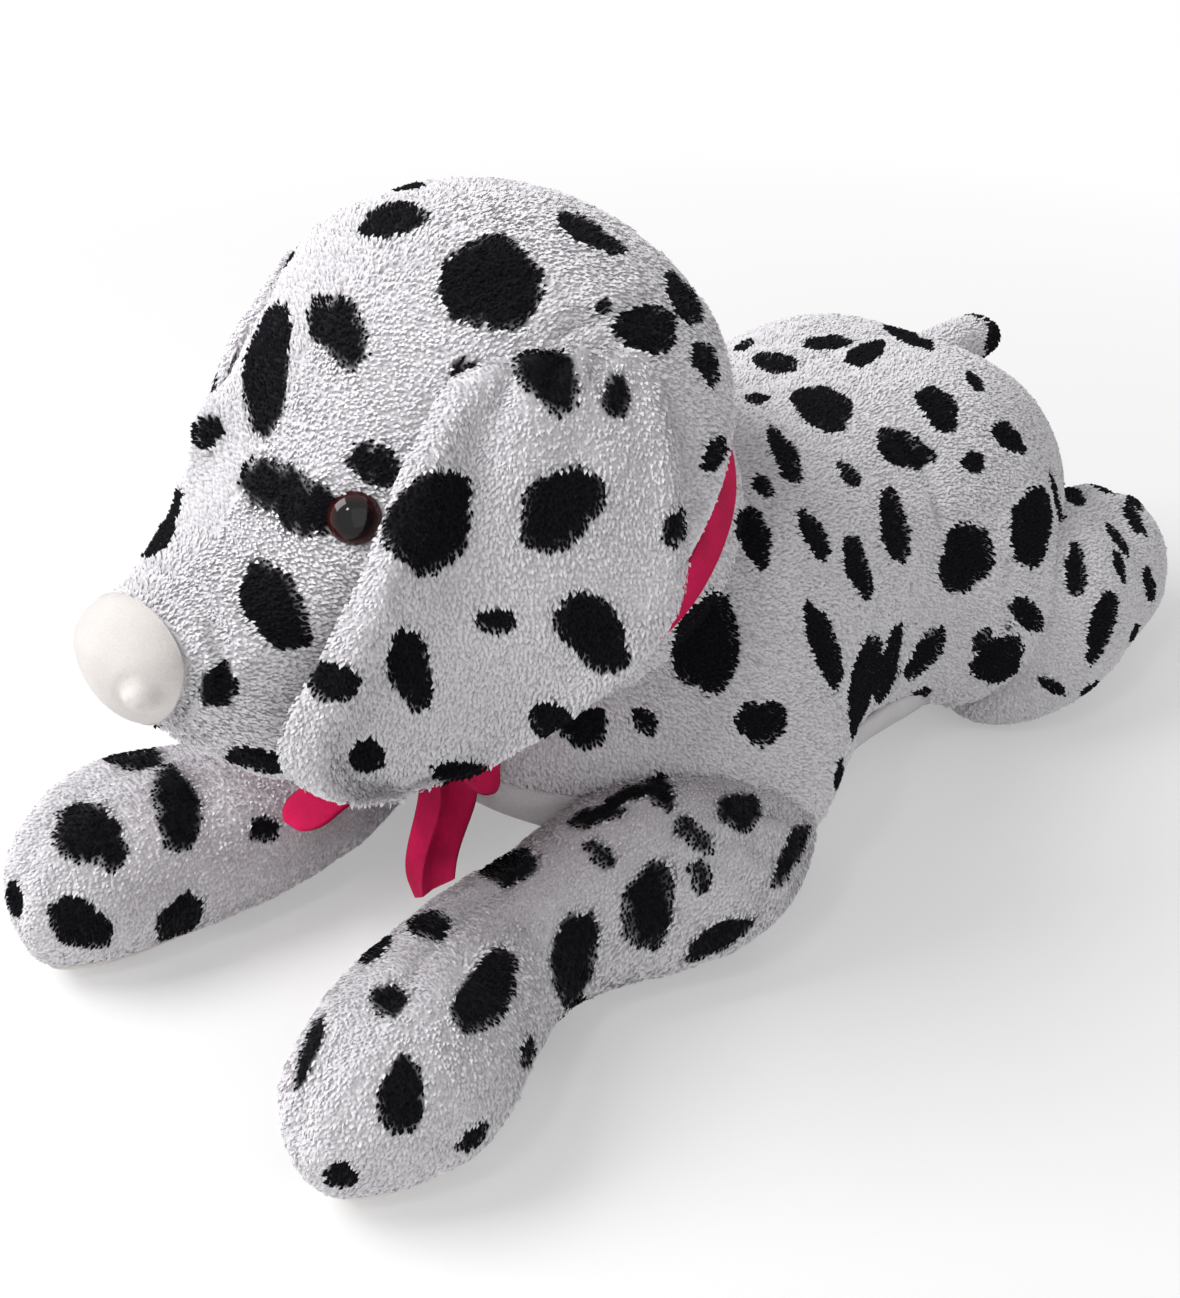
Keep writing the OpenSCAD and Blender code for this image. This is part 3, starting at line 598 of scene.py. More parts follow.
SPOTS: tuple[Spot, ...] = (
    Spot("crown front", 393, 221, 68, 36, -15), Spot("crown top", 400, 181, 45, 12, 0),
    Spot("crown right", 283, 262, 26, 16, -60), Spot("brow", 331, 333, 80, 50, 60),
    Spot("bridge", 262, 370, 140, 45, 97), Spot("crown", 492, 278, 106, 96, 0),
    Spot("crown rear", 582, 228, 80, 24, 28), Spot("crown dot", 598, 302, 20, 14, -40),
    Spot("ear root front", 455, 372, 36, 22, -20), Spot("nape", 648, 333, 70, 55, -15),
    Spot("nape upper", 683, 292, 60, 30, 60), Spot("nape side", 710, 362, 48, 26, 70),
    Spot("nape low", 716, 450, 42, 22, -60), Spot("nape lowest", 683, 523, 45, 25, -60),
    Spot("muzzle top", 265, 478, 60, 50, 0), Spot("muzzle top rear", 295, 500, 80, 55, 35),
    Spot("over the eye", 374, 464, 60, 40, 30), Spot("muzzle side", 268, 603, 100, 58, 60),
    Spot("beside the nose", 220, 690, 45, 35, 110), Spot("chin", 258, 764, 85, 22, 12),
    Spot("ear front", 433, 520, 110, 82, 115), Spot("ear middle", 563, 508, 100, 70, -45),
    Spot("ear low front", 408, 668, 88, 44, 75), Spot("ear dot", 494, 621, 42, 28, 0),
    Spot("ear low rear", 598, 632, 95, 58, 50), Spot("ear front edge", 328, 682, 55, 38, 15),
    Spot("ear hem", 366, 757, 38, 34, 0), Spot("ear hem rear", 455, 766, 60, 24, 0),
    Spot("ear top rear", 622, 396, 42, 28, 90), Spot("ear top", 549, 368, 80, 55, 55),
    Spot("far ear", 205, 432, 32, 32, 0), Spot("far ear low", 157, 527, 85, 26, 115),
    Spot("neck back", 743, 343, 24, 14, -35), Spot("withers", 773, 362, 46, 22, 8),
    Spot("back left 1", 829, 340, 51, 15, -3), Spot("back left 2", 863, 353, 50, 23, -30),
    Spot("back", 818, 404, 62, 48, 25), Spot("back left 3", 913, 334, 66, 21, 30),
    Spot("withers low", 754, 401, 26, 12, 0), Spot("shoulder top", 781, 452, 66, 25, 65),
    Spot("shoulder dot", 763, 482, 26, 19, 50), Spot("back dot", 842, 475, 30, 17, 50),
    Spot("back rear", 935, 406, 52, 34, 55), Spot("back middle", 902, 457, 62, 35, 25),
    Spot("rump dot", 972, 461, 25, 23, 0), Spot("rump", 1007, 437, 42, 23, 40),
    Spot("tail root", 976, 379, 26, 12, 50), Spot("side 1", 811, 538, 56, 23, 62),
    Spot("side 2", 860, 565, 68, 24, 72), Spot("side 3", 892, 533, 76, 29, 78),
    Spot("side rear", 968, 562, 72, 54, 110), Spot("hip", 1033, 527, 84, 44, 100),
    Spot("rump side", 1074, 491, 44, 18, 60), Spot("behind the ribbon", 748, 538, 66, 32, 75),
    Spot("shoulder", 709, 643, 100, 68, 95), Spot("flank 1", 823, 640, 92, 29, 70),
    Spot("flank 2", 863, 685, 105, 28, 102), Spot("flank 3", 889, 667, 86, 19, 105),
    Spot("flank 4", 926, 655, 64, 24, 125), Spot("flank disc", 763, 725, 52, 45, 0),
    Spot("flank dot", 917, 698, 26, 11, -30), Spot("chest 1", 549, 720, 44, 34, 0),
    Spot("chest 2", 586, 729, 48, 44, 0), Spot("chest 3", 640, 718, 32, 22, 55),
    Spot("shoulder low 1", 662, 783, 46, 24, 70), Spot("shoulder low 2", 630, 790, 48, 16, -20),
    Spot("shoulder low 3", 694, 827, 52, 22, 40), Spot("shoulder low 4", 735, 805, 46, 38, 0),
    Spot("belly edge", 834, 770, 34, 11, 95), Spot("elbow rear", 794, 851, 78, 20, 118),
    Spot("thigh 1", 1075, 568, 54, 21, 88), Spot("thigh 2", 1028, 619, 44, 24, 45),
    Spot("thigh 3", 976, 643, 28, 14, 130), Spot("thigh 4", 998, 659, 58, 46, 135),
    Spot("hind paw 1", 1103, 631, 76, 25, 105), Spot("hind paw 2", 1139, 634, 22, 15, 100),
    Spot("hind paw 3", 1054, 688, 36, 12, 30), Spot("hind paw 4", 1096, 697, 27, 18, -30),
    Spot("rump edge 1", 1106, 475, 34, 11, 25), Spot("rump edge 2", 1135, 487, 34, 13, 60),
    Spot("rump edge 3", 1132, 514, 40, 14, 62), Spot("rump edge 4", 1120, 536, 42, 10, 55),
    Spot("rump edge 5", 1123, 565, 36, 11, 75), Spot("rump edge 6", 1153, 586, 38, 12, 75),
    Spot("foreleg root", 594, 812, 60, 19, -15), Spot("forearm front", 503, 862, 62, 44, 0),
    Spot("forearm top", 598, 854, 38, 20, 40), Spot("elbow dot", 700, 879, 34, 24, 80),
    Spot("forearm side 1", 653, 909, 92, 52, 100), Spot("elbow", 716, 938, 76, 26, -30),
    Spot("forearm side 2", 580, 955, 98, 48, 100), Spot("wrist", 428, 922, 46, 36, 20),
    Spot("paw inner", 373, 942, 42, 25, -45), Spot("paw top", 385, 996, 40, 36, 0),
    Spot("paw side", 484, 983, 104, 50, 120), Spot("paw seam", 307, 1047, 80, 15, 110),
    Spot("paw", 405, 1100, 80, 47, 95), Spot("paw tip", 341, 1179, 34, 28, 0),
    Spot("paw low", 480, 1135, 42, 18, -40), Spot("paw rear dot", 531, 1053, 32, 16, 100),
    Spot("far paw outer 1", 85, 828, 66, 62, 0), Spot("far paw outer 2", 110, 848, 36, 36, 0),
    Spot("far paw top", 180, 805, 88, 46, 80), Spot("far paw", 87, 925, 72, 46, 30),
    Spot("far paw inner", 187, 920, 62, 42, 120), Spot("far wrist", 264, 832, 30, 28, 0),
    Spot("far paw tip", 12, 900, 36, 18, 80), Spot("under the nose", 135, 740, 62, 34, 5),
)


@dataclass(frozen=True)
class Crease:
    """A crease as read in the photograph: its two ends in pixels; its depth, width and puff in mm."""

    name: str
    x0: float
    y0: float
    x1: float
    y1: float
    depth: float = 2.2
    width: float = 3.2
    puff: float = 0.9

    def ends(self) -> tuple[Array, Array]:
        """The pixel places of the crease's points, from one end to the other."""
        return np.linspace(self.x0, self.x1, 5), np.linspace(self.y0, self.y1, 5)


CREASES: tuple[Crease, ...] = (
    Crease("shoulder 1", 757, 806, 792, 816), Crease("shoulder 2", 723, 834, 782, 868, 3.0),
    Crease("shoulder 3", 712, 855, 768, 895, 2.6), Crease("shoulder 4", 745, 822, 790, 842),
    Crease("flank front", 911, 585, 926, 630), Crease("flank rear", 1007, 560, 1002, 618, 2.6),
    Crease("flank low", 880, 600, 872, 640, 1.6), Crease("ear root 1", 508, 366, 500, 402, 1.8),
    Crease("ear root 2", 562, 346, 552, 388, 2.0), Crease("ear root 3", 604, 338, 596, 378, 1.8),
    Crease("crown pucker 1", 560, 330, 600, 322, 1.8), Crease("crown pucker 2", 618, 318, 650, 300, 1.8),
)


def press_creases(covers: dict[str, Skin]) -> None:
    """Presses each crease into the cover that its middle pixel shows.

    Args:
        covers: The shaped covers by name.
    """
    sights = Sights(covers)
    for crease in CREASES:
        k = sights.find(*crease.ends())
        covers[sights.owners[k[2]]].groove(sights.points[k], crease.width, crease.depth, crease.puff)


class Sights:
    """What the photograph's camera sees of the covers.

    A point is looked for within the reach of a pixel. Each pixel beyond it counts as so many mm farther from
    the camera, and so does a point that is turned away.
    """

    edge_on = 0.02
    turned_away = 400.0
    reach = 7.0
    per_pixel = 60.0

    def __init__(self, covers: dict[str, Skin]) -> None:
        """Gathers every cover's points and normals, and where they lie in the picture.

        Args:
            covers: The shaped covers by name.
        """
        self.points = np.concatenate([s.points.reshape(-1, 3) for s in covers.values()])
        self.normals = np.concatenate([s.normals().reshape(-1, 3) for s in covers.values()])
        names = [np.full(s.points[..., 0].size, n, dtype=object) for n, s in covers.items()]
        self.owners = np.concatenate(names)
        self.x, self.y, self.depth = PHOTO.project(self.points)
        sight = unit(self.points - np.array(PHOTO.place))
        self.facing = -(sight * self.normals).sum(-1)

    def find(self, x: Array, y: Array) -> Array:
        """The number of the nearest point that faces the camera at each pixel.

        Args:
            x: Pixel places across.
            y: Pixel places down.

        Returns:
            Numbers of points.
        """
        far = np.hypot(self.x[None] - x[:, None], self.y[None] - y[:, None])
        turned = np.where(self.facing[None] > self.edge_on, 0.0, self.turned_away)
        return (self.depth[None] + turned + np.maximum(0.0, far - self.reach) * self.per_pixel).argmin(axis=1)


@dataclass
class Markings:
    """The black spots on the covers: the photographed ones cast onto them, and seeded ones out of sight.

    A spot is an ellipse carried through the cover: its middle, its two half axes and a long axis through it.
    What the photograph shows is told cell by cell, each some pixels wide; points past its edges count there.
    """

    covers: dict[str, Skin]
    groups: dict[str, str]
    spacing: float = 44.0
    through: float = 2.2
    pixels: int = 8
    across: int = 200
    edges: tuple[int, int] = (1199, 1319)
    margin: float = 14.0
    tries: int = 9000
    middles: Array = field(default_factory=lambda: np.zeros((0, 3)))
    deeps: Array = field(default_factory=lambda: np.zeros((0, 3)))
    longs: Array = field(default_factory=lambda: np.zeros((0, 3)))
    wides: Array = field(default_factory=lambda: np.zeros((0, 3)))
    owners: list[str] = field(default_factory=list)

    def cast(self) -> None:
        """Lays each photographed spot on the nearest cover that its pixel shows, along the line of sight.

        Its two axes are the picture's own at that distance, and its third axis is the line of sight.
        """
        sights = Sights(self.covers)
        right, down, _ = PHOTO.axes()
        words = ("x", "y", "long", "wide", "lean")
        sx, sy, sl, sw, st = (np.array([getattr(s, w) for s in SPOTS], float) for w in words)
        k = sights.find(sx, sy)
        ray = PHOTO.rays(sx, sy)
        half = sights.depth[k] / PHOTO.focal / 2
        turn = np.radians(st)[:, None]
        longs = (np.cos(turn) * right + np.sin(turn) * down) * (sl * half)[:, None]
        wides = (np.cos(turn) * down - np.sin(turn) * right) * (sw * half)[:, None]
        deeps = ray * (self.through * np.maximum(sl, sw) * half + 4.0)[:, None]
        self.add([self.groups[name] for name in sights.owners[k]], sights.points[k], deeps, longs, wides)

    def scatter(self) -> None:
        """Adds seeded spots where the photograph shows nothing, at least the spacing apart."""
        rng = np.random.default_rng(SEED)
        sights = Sights(self.covers)
        points, normals = sights.points, sights.normals
        column, row = ((np.clip(v, 0, most) // self.pixels).astype(int)
                       for v, most in zip((sights.x, sights.y), self.edges))
        cell = column * self.across + row
        nearest = np.full(self.across * self.across, 1e9)
        np.minimum.at(nearest, cell, sights.depth)
        shown = (sights.facing > 0.05) & (sights.depth < nearest[cell] + self.margin)
        pick = rng.permutation(np.flatnonzero(~shown & (points[:, 2] > self.margin)))[:self.tries]
        shown_points = points[shown][::7]
        placed, places = [], [self.middles]
        for i in pick:
            known = np.concatenate(places)
            if np.linalg.norm(known - points[i], axis=1).min() < self.spacing:
                continue
            if np.linalg.norm(shown_points - points[i], axis=1).min() < self.margin:
                continue
            placed.append(i)
            places.append(points[i:i + 1])
        k = np.array(placed)
        n = normals[k]
        side = unit(np.cross(n, rng.normal(size=n.shape)))
        long = rng.uniform(10, 20, len(k))[:, None]
        wide = np.cross(n, side) * long * rng.uniform(0.55, 0.95, (len(k), 1))
        owners = [self.groups[sights.owners[i]] for i in placed]
        self.add(owners, points[k], n * long * 1.6, side * long, wide)

    def add(self, owners: list[str], middles: Array, deeps: Array, longs: Array, wides: Array) -> None:
        """Adds spots by their places on the object.

        Args:
            owners: Each spot's group of covers.
            middles: Their middles in mm, shape (k, 3).
            deeps: Their axes through the cover.
            longs: Their long half axes.
            wides: Their short half axes.
        """
        self.middles = np.concatenate([self.middles, middles])
        self.deeps = np.concatenate([self.deeps, deeps])
        self.longs = np.concatenate([self.longs, longs])
        self.wides = np.concatenate([self.wides, wides])
        self.owners += owners

    def value(self, group: str, p: Array, ragged: Array | float = 0.0) -> Array:
        """How far points lie inside the spots of a group: above 0 inside, below 0 outside.

        Each spot's edge is an ellipse with lobes: its radius has two slow waves round it.

        Args:
            group: The group of covers.
            p: Points in mm, shape (n, 3).
            ragged: Unevenness added at each point.

        Returns:
            The greatest value over the spots, shape (n,).
        """
        best = np.full(len(p), -1.0)
        for i in np.flatnonzero(np.array(self.owners) == group):
            axes = np.stack([self.longs[i], self.wides[i], self.deeps[i]], axis=1)
            across, along, deep = np.linalg.inv(axes) @ (p - self.middles[i]).T
            angle = np.arctan2(along, across)
            edge = 1 + 0.06 * np.sin(3 * angle + i * 2.4) + 0.04 * np.sin(5 * angle + i * 1.7)
            best = np.maximum(best, edge - np.sqrt(across**2 + along**2 + deep**2) + ragged)
        return best


@dataclass(frozen=True)
class Pile:
    """Short combed pile: leaf-shaped tufts in staggered rows, in mm and degrees."""

    pitch: float = 1.75
    length: float = 3.3
    width: float = 1.7
    lean: float = 40.0
    spread: float = 0.22

    def roots(self, skin: Skin, rng: np.random.Generator) -> tuple[Array, Array]:
        """Row and column places of the tufts, evenly spaced by length along and round the cover.

        Args:
            skin: The cover.
            rng: Seeded source of the small shifts.

        Returns:
            Row places and column places.
        """
        p = skin.points
        rows, columns = p.shape[:2]
        down = np.linalg.norm(np.diff(p, axis=0), axis=-1).max(axis=1)
        along = np.concatenate([[0.0], np.cumsum(down)])
        lines = int(along[-1] / self.pitch)
        row = np.interp((np.arange(lines) + 0.5) * self.pitch, along, np.arange(rows))
        i = np.clip(row.astype(int), 0, rows - 2)
        f = (row - i)[:, None, None]
        ring = p[i] * (1 - f) + p[i + 1] * f
        step = np.linalg.norm(np.roll(ring, -1, axis=1) - ring, axis=-1)
        length = np.concatenate([np.zeros((lines, 1)), np.cumsum(step, axis=1)], axis=1)
        count = np.maximum(3, (length[:, -1] / self.pitch).astype(int))
        which = np.repeat(np.arange(lines), count)
        order = np.arange(len(which)) - np.repeat(np.cumsum(count) - count, count)
        shift = rng.uniform(-0.3, 0.3, len(which)) + 0.5 * (which % 2) + 0.25
        goal = np.clip((order + shift) / count[which], 0.0, 0.9999) * length[which, -1]
        far = length.max() + 1.0
        table = (length + np.arange(lines)[:, None] * far).ravel()
        places = np.broadcast_to(np.arange(columns + 1.0), length.shape).ravel()
        column = np.interp(goal + which * far, table, places)
        line = which + 0.5 + rng.uniform(-0.3, 0.3, len(which))
        near = np.interp(line * self.pitch, along, np.arange(rows))
        return np.clip(near, 0.02, rows - 1.02), column

    def leaves(self, p: Array, n: Array, comb: Array, rng: np.random.Generator) -> Array:
        """Four points of each tuft: a foot, a wider middle and a tip that bends over along the comb.

        Args:
            p: Roots, shape (k, 3).
            n: Normals there.
            comb: Directions of the pile there.
            rng: Seeded source of the variation.

        Returns:
            Points of shape (k, 4, 3).
        """
        k = len(p)
        t = unit(comb - (comb * n).sum(-1, keepdims=True) * n)
        b = np.cross(n, t)
        swing = rng.normal(0, self.spread, (k, 1))
        t, b = t * np.cos(swing) + b * np.sin(swing), b * np.cos(swing) - t * np.sin(swing)
        roll = rng.normal(0, 0.42, (k, 1))
        side = b * np.cos(roll) + n * np.sin(roll)
        rise = np.radians(self.lean + rng.normal(0, 9, (k, 1)))
        long = self.length * rng.uniform(0.75, 1.15, (k, 1))
        wide = self.width * rng.uniform(0.75, 1.15, (k, 1))
        foot = p - n * 0.7
        middle = p + (t * np.cos(rise) + n * np.sin(rise)) * long * 0.5
        tip = p + t * long * np.cos(rise * 0.7) + n * long * np.sin(rise) * 0.66
        return np.stack([foot, middle - side * wide * 0.5, middle + side * wide * 0.5, tip], axis=1)

    def piece(self, name: str, leaves: Array, spot: Array, tint: Array) -> bpy.types.Object:
        """One mesh of many tufts, with their colours' attributes and one map cell for each tuft.

        Args:
            name: The piece's name.
            leaves: Tuft points in mm, shape (k, 4, 3).
            spot: 1 for a black tuft and 0 for a white one.
            tint: Each tuft's own shade, 0 to 1.

        Returns:
            The object.
        """
        k = len(leaves)
        shape = np.array([[0, 2, 1], [1, 2, 3]])
        faces = (np.arange(k)[:, None, None] * 4 + shape).reshape(-1, 3)
        obj = make_mesh(name, leaves.reshape(-1, 3), faces)
        set_values(obj, "spot", np.repeat(spot, 4))
        set_values(obj, "tint", np.repeat(tint, 4))
        # 0 at the foot and 1 at the tip, for the painted shade at the tufts' feet.
        set_values(obj, "along", np.tile([0.0, 0.55, 0.55, 1.0], k))
        across = int(np.ceil(np.sqrt(k)))
        corner = np.stack([np.arange(k) % across, np.arange(k) // across], -1)[:, None]
        cell = np.array([[0.5, 0.1], [0.1, 0.5], [0.9, 0.5], [0.5, 0.9]])
        uv = ((corner + cell[None]) / across).reshape(-1, 2)[faces.ravel()]
        obj.data.uv_layers.new(name="OFBake").data.foreach_set("uv", uv.astype(np.float32).ravel())
        return obj


class Nodes:
    """Short ways to add and join the nodes of one tree."""

    def __init__(self, tree: bpy.types.NodeTree) -> None:
        """Keeps the tree and empties it."""
        self.tree = tree
        tree.nodes.clear()

    def add(self, kind: str, *, settings: dict | None = None, **inputs: object) -> bpy.types.Node:
        """Adds a node; an input is a value, or a socket to join; its name is written with _ for a space.

        Args:
            kind: The node's type.
            settings: Its own properties.
            **inputs: Its sockets by name, or by number as n0, n1 and so on.

        Returns:
            The node.
        """
        node = self.tree.nodes.new(kind)
        for key, value in (settings or {}).items():
            setattr(node, key, value)
        for key, value in inputs.items():
            by_number = key[0] == "n" and key[1:].isdigit()
            self.put(node.inputs[int(key[1:]) if by_number else key.replace("_", " ")], value)
        return node

    def put(self, socket: bpy.types.NodeSocket, value: object) -> None:
        """Joins a socket to another one, or gives it a value."""
        if isinstance(value, bpy.types.NodeSocket):
            self.tree.links.new(value, socket)
        else:
            socket.default_value = value

    def value(self, name: str) -> bpy.types.NodeSocket:
        """The number that an attribute gives at each place."""
        return self.add("ShaderNodeAttribute", settings={"attribute_name": name}).outputs["Fac"]

    def math(self, way: str, a: object, b: object = 0.0) -> bpy.types.NodeSocket:
        """One step of arithmetic."""
        return self.add("ShaderNodeMath", settings={"operation": way}, n0=a, n1=b).outputs[0]

    def mix(self, share: object, a: object, b: object) -> bpy.types.NodeSocket:
        """A blend of two colours."""
        node = self.add("ShaderNodeMix", settings={"data_type": "RGBA"})
        self.put(node.inputs[0], share)
        for key, colour in ((6, a), (7, b)):
            self.put(node.inputs[key], (*colour, 1.0) if isinstance(colour, tuple) else colour)
        return node.outputs[2]

    def span(self, value: object, low: float, high: float, start: float, end: float) -> bpy.types.NodeSocket:
        """A value carried from one range to another, held at its ends."""
        return self.add("ShaderNodeMapRange", n0=value, n1=low, n2=high, n3=start, n4=end).outputs[0]


def nap_group() -> bpy.types.NodeTree:
    """Shared cloth noise: Height bumps the cloth; Shade is painted light and shade from fibres and slow
    patches.

    Returns:
        A group with inputs Fibres and Patches (scales) and outputs Shade and Height.
    """
    group = bpy.data.node_groups.new("nap", "ShaderNodeTree")
    for name, kind, way in (("Fibres", "NodeSocketFloat", "INPUT"), ("Patches", "NodeSocketFloat", "INPUT"),
                            ("Shade", "NodeSocketFloat", "OUTPUT"), ("Height", "NodeSocketFloat", "OUTPUT")):
        group.interface.new_socket(name, in_out=way, socket_type=kind)
    n = Nodes(group)
    given = n.add("NodeGroupInput")
    where = n.add("ShaderNodeTexCoord").outputs["Object"]
    fine, slow = (n.add("ShaderNodeTexNoise", Vector=where, Scale=given.outputs[name], Detail=detail,
                        Roughness=rough).outputs[0]
                  for name, detail, rough in (("Fibres", 4.0, 0.65), ("Patches", 2.0, 0.5)))
    # Painted light and shade: fine fibre noise with slow patches, for the colour's mix of shaded and lit
    # copies.
    shade = n.math("ADD", n.math("MULTIPLY", fine, 0.55), n.math("MULTIPLY", slow, 0.45))
    n.add("NodeGroupOutput", Shade=shade, Height=fine)
    return group


@dataclass(frozen=True)
class Colour:
    """One finish's colour in shade and in light, as linear red, green and blue."""

    shade: tuple[float, float, float]
    light: tuple[float, float, float]


@dataclass(frozen=True)
class Finishes:
    """The dog's finishes and the numbers that make them."""

    # Painted light and shade: white to crimson are each a shaded and a lit copy, mixed by the cloths' noise
    # and along the tufts.
    white: Colour = Colour((0.55, 0.52, 0.55), (0.89, 0.88, 0.905))
    black: Colour = Colour((0.001, 0.001, 0.0015), (0.009, 0.009, 0.012))
    smooth_white: Colour = Colour((0.72, 0.69, 0.71), (0.87, 0.86, 0.87))
    cream: Colour = Colour((0.67, 0.62, 0.60), (0.80, 0.765, 0.745))
    crimson: Colour = Colour((0.40, 0.003, 0.05), (0.74, 0.011, 0.105))
    # The iris's two colours are its own dark middle and reddish rim.
    iris: Colour = Colour((0.003, 0.001, 0.001), (0.055, 0.007, 0.007))

    def new(self, name: str) -> tuple[bpy.types.Material, Nodes, bpy.types.Node]:
        """An empty material, its nodes and its Principled shader, already joined to the output."""
        material = bpy.data.materials.new(name)
        material.use_nodes = True
        n = Nodes(material.node_tree)
        shader = n.add("ShaderNodeBsdfPrincipled")
        n.add("ShaderNodeOutputMaterial", Surface=shader.outputs[0])
        return material, n, shader

    def join(self, n: Nodes, shader: bpy.types.Node, **inputs: object) -> None:
        """Sets or joins the shader's sockets by name."""
        for key, value in inputs.items():
            n.put(shader.inputs[key.replace("_", " ")], value)

    def bump(self, n: Nodes, height: bpy.types.NodeSocket, strength: float,
             distance: float) -> bpy.types.NodeSocket:
        """A normal bent by a height."""
        return n.add("ShaderNodeBump", Height=height, Strength=strength, Distance=distance).outputs[0]

    def tufts(self) -> bpy.types.Material:
        """The tufts: painted shade darkens each from its lit tip to its foot among the pile; each has its own
        tone, black in the spots.
        """
        material, n, shader = self.new("pile_tufts")
        # Painted shade at the feet: the shaded copy at the foot, the lit copy at the tip, varied by each
        # tuft's tone.
        along = n.span(n.value("along"), 0.0, 0.8, 0.0, 1.0)
        shade = n.math("MULTIPLY", along, n.span(n.value("tint"), 0.0, 1.0, 0.72, 1.0))
        white = n.mix(shade, self.white.shade, self.white.light)
        black = n.mix(shade, self.black.shade, self.black.light)
        self.join(n, shader, Base_Color=n.mix(n.value("spot"), white, black), Roughness=0.9,
                  Specular_IOR_Level=0.08)
        return material

    def cloth(self, name: str, colour: Colour, nap: bpy.types.NodeTree, fibres: float, patches: float,
              depth: float, spots: bool, sheen: float) -> bpy.types.Material:
        """A napped cloth: a bump from its fibre noise, and painted light and shade in its colour, with spots
        where it has them.

        Args:
            name: The material's name.
            colour: Its colour in shade and in light.
            nap: The nap group.
            fibres: Scale of the fibres.
            patches: Scale of the slow patches.
            depth: Depth of the bump, in metres.
            spots: Whether it reads the spot attribute.
            sheen: Weight of the sheen.

        Returns:
            The material.
        """
        material, n, shader = self.new(name)
        given = n.add("ShaderNodeGroup", settings={"node_tree": nap}, Fibres=fibres, Patches=patches)
        # Painted light and shade: the noise mixes the finish's shaded and lit copies, and those of the black
        # spots.
        share = n.span(given.outputs["Shade"], 0.34, 0.66, 0.0, 1.0)
        base = n.mix(share, colour.shade, colour.light)
        if spots:
            base = n.mix(n.value("spot"), base, n.mix(share, self.black.shade, self.black.light))
        rough = n.span(given.outputs["Shade"], 0.3, 0.7, 0.78, 0.95)
        self.join(n, shader, Base_Color=base, Roughness=rough, Sheen_Weight=sheen, Sheen_Roughness=0.4,
                  Specular_IOR_Level=0.2, Normal=self.bump(n, given.outputs["Height"], 0.8, depth))
        return material

    def eye(self) -> bpy.types.Material:
        """The eye: black pupil, dark brown iris and a reddish rim by the distance from its middle, glossy."""
        material, n, shader = self.new("eye_gloss")
        ring = n.value("ring")
        where = n.add("ShaderNodeTexCoord").outputs["Object"]
        rays = n.add("ShaderNodeTexNoise", Vector=where, Scale=900.0, Detail=2.0).outputs[0]
        iris = n.mix(n.span(n.math("ADD", ring, n.math("MULTIPLY", rays, 0.12)), 0.62, 1.08, 0.0, 1.0),
                     self.iris.shade, self.iris.light)
        base = n.mix(n.span(ring, 0.52, 0.60, 0.0, 1.0), (0.002, 0.002, 0.002), iris)
        self.join(n, shader, Base_Color=base, Roughness=n.span(rays, 0.2, 0.8, 0.06, 0.12),
                  Coat_Weight=0.5, Coat_Roughness=0.02, Specular_IOR_Level=0.09)
        return material


@dataclass
class Wardrobe:
    """The made materials by finish."""

    finishes: Finishes = Finishes()

    def __post_init__(self) -> None:
        """Makes each material once."""
        f = self.finishes
        nap = nap_group()
        self.tufts = f.tufts()
        self.backing = f.cloth("pile_backing", f.white, nap, 700.0, 30.0, 0.0008, True, 0.1)
        self.short = f.cloth("short_pile", f.smooth_white, nap, 900.0, 45.0, 0.0009, True, 0.15)
        self.velour = f.cloth("velour", f.cream, nap, 1300.0, 40.0, 0.0004, False, 0.2)
        self.ribbon = f.cloth("ribbon_felt", f.crimson, nap, 1500.0, 60.0, 0.0004, False, 0.0)
        self.eye = f.eye()

    def dress(self, obj: bpy.types.Object, surface: Surface, material: bpy.types.Material) -> None:
        """Gives a piece its material."""
        obj.data.materials.append(material)


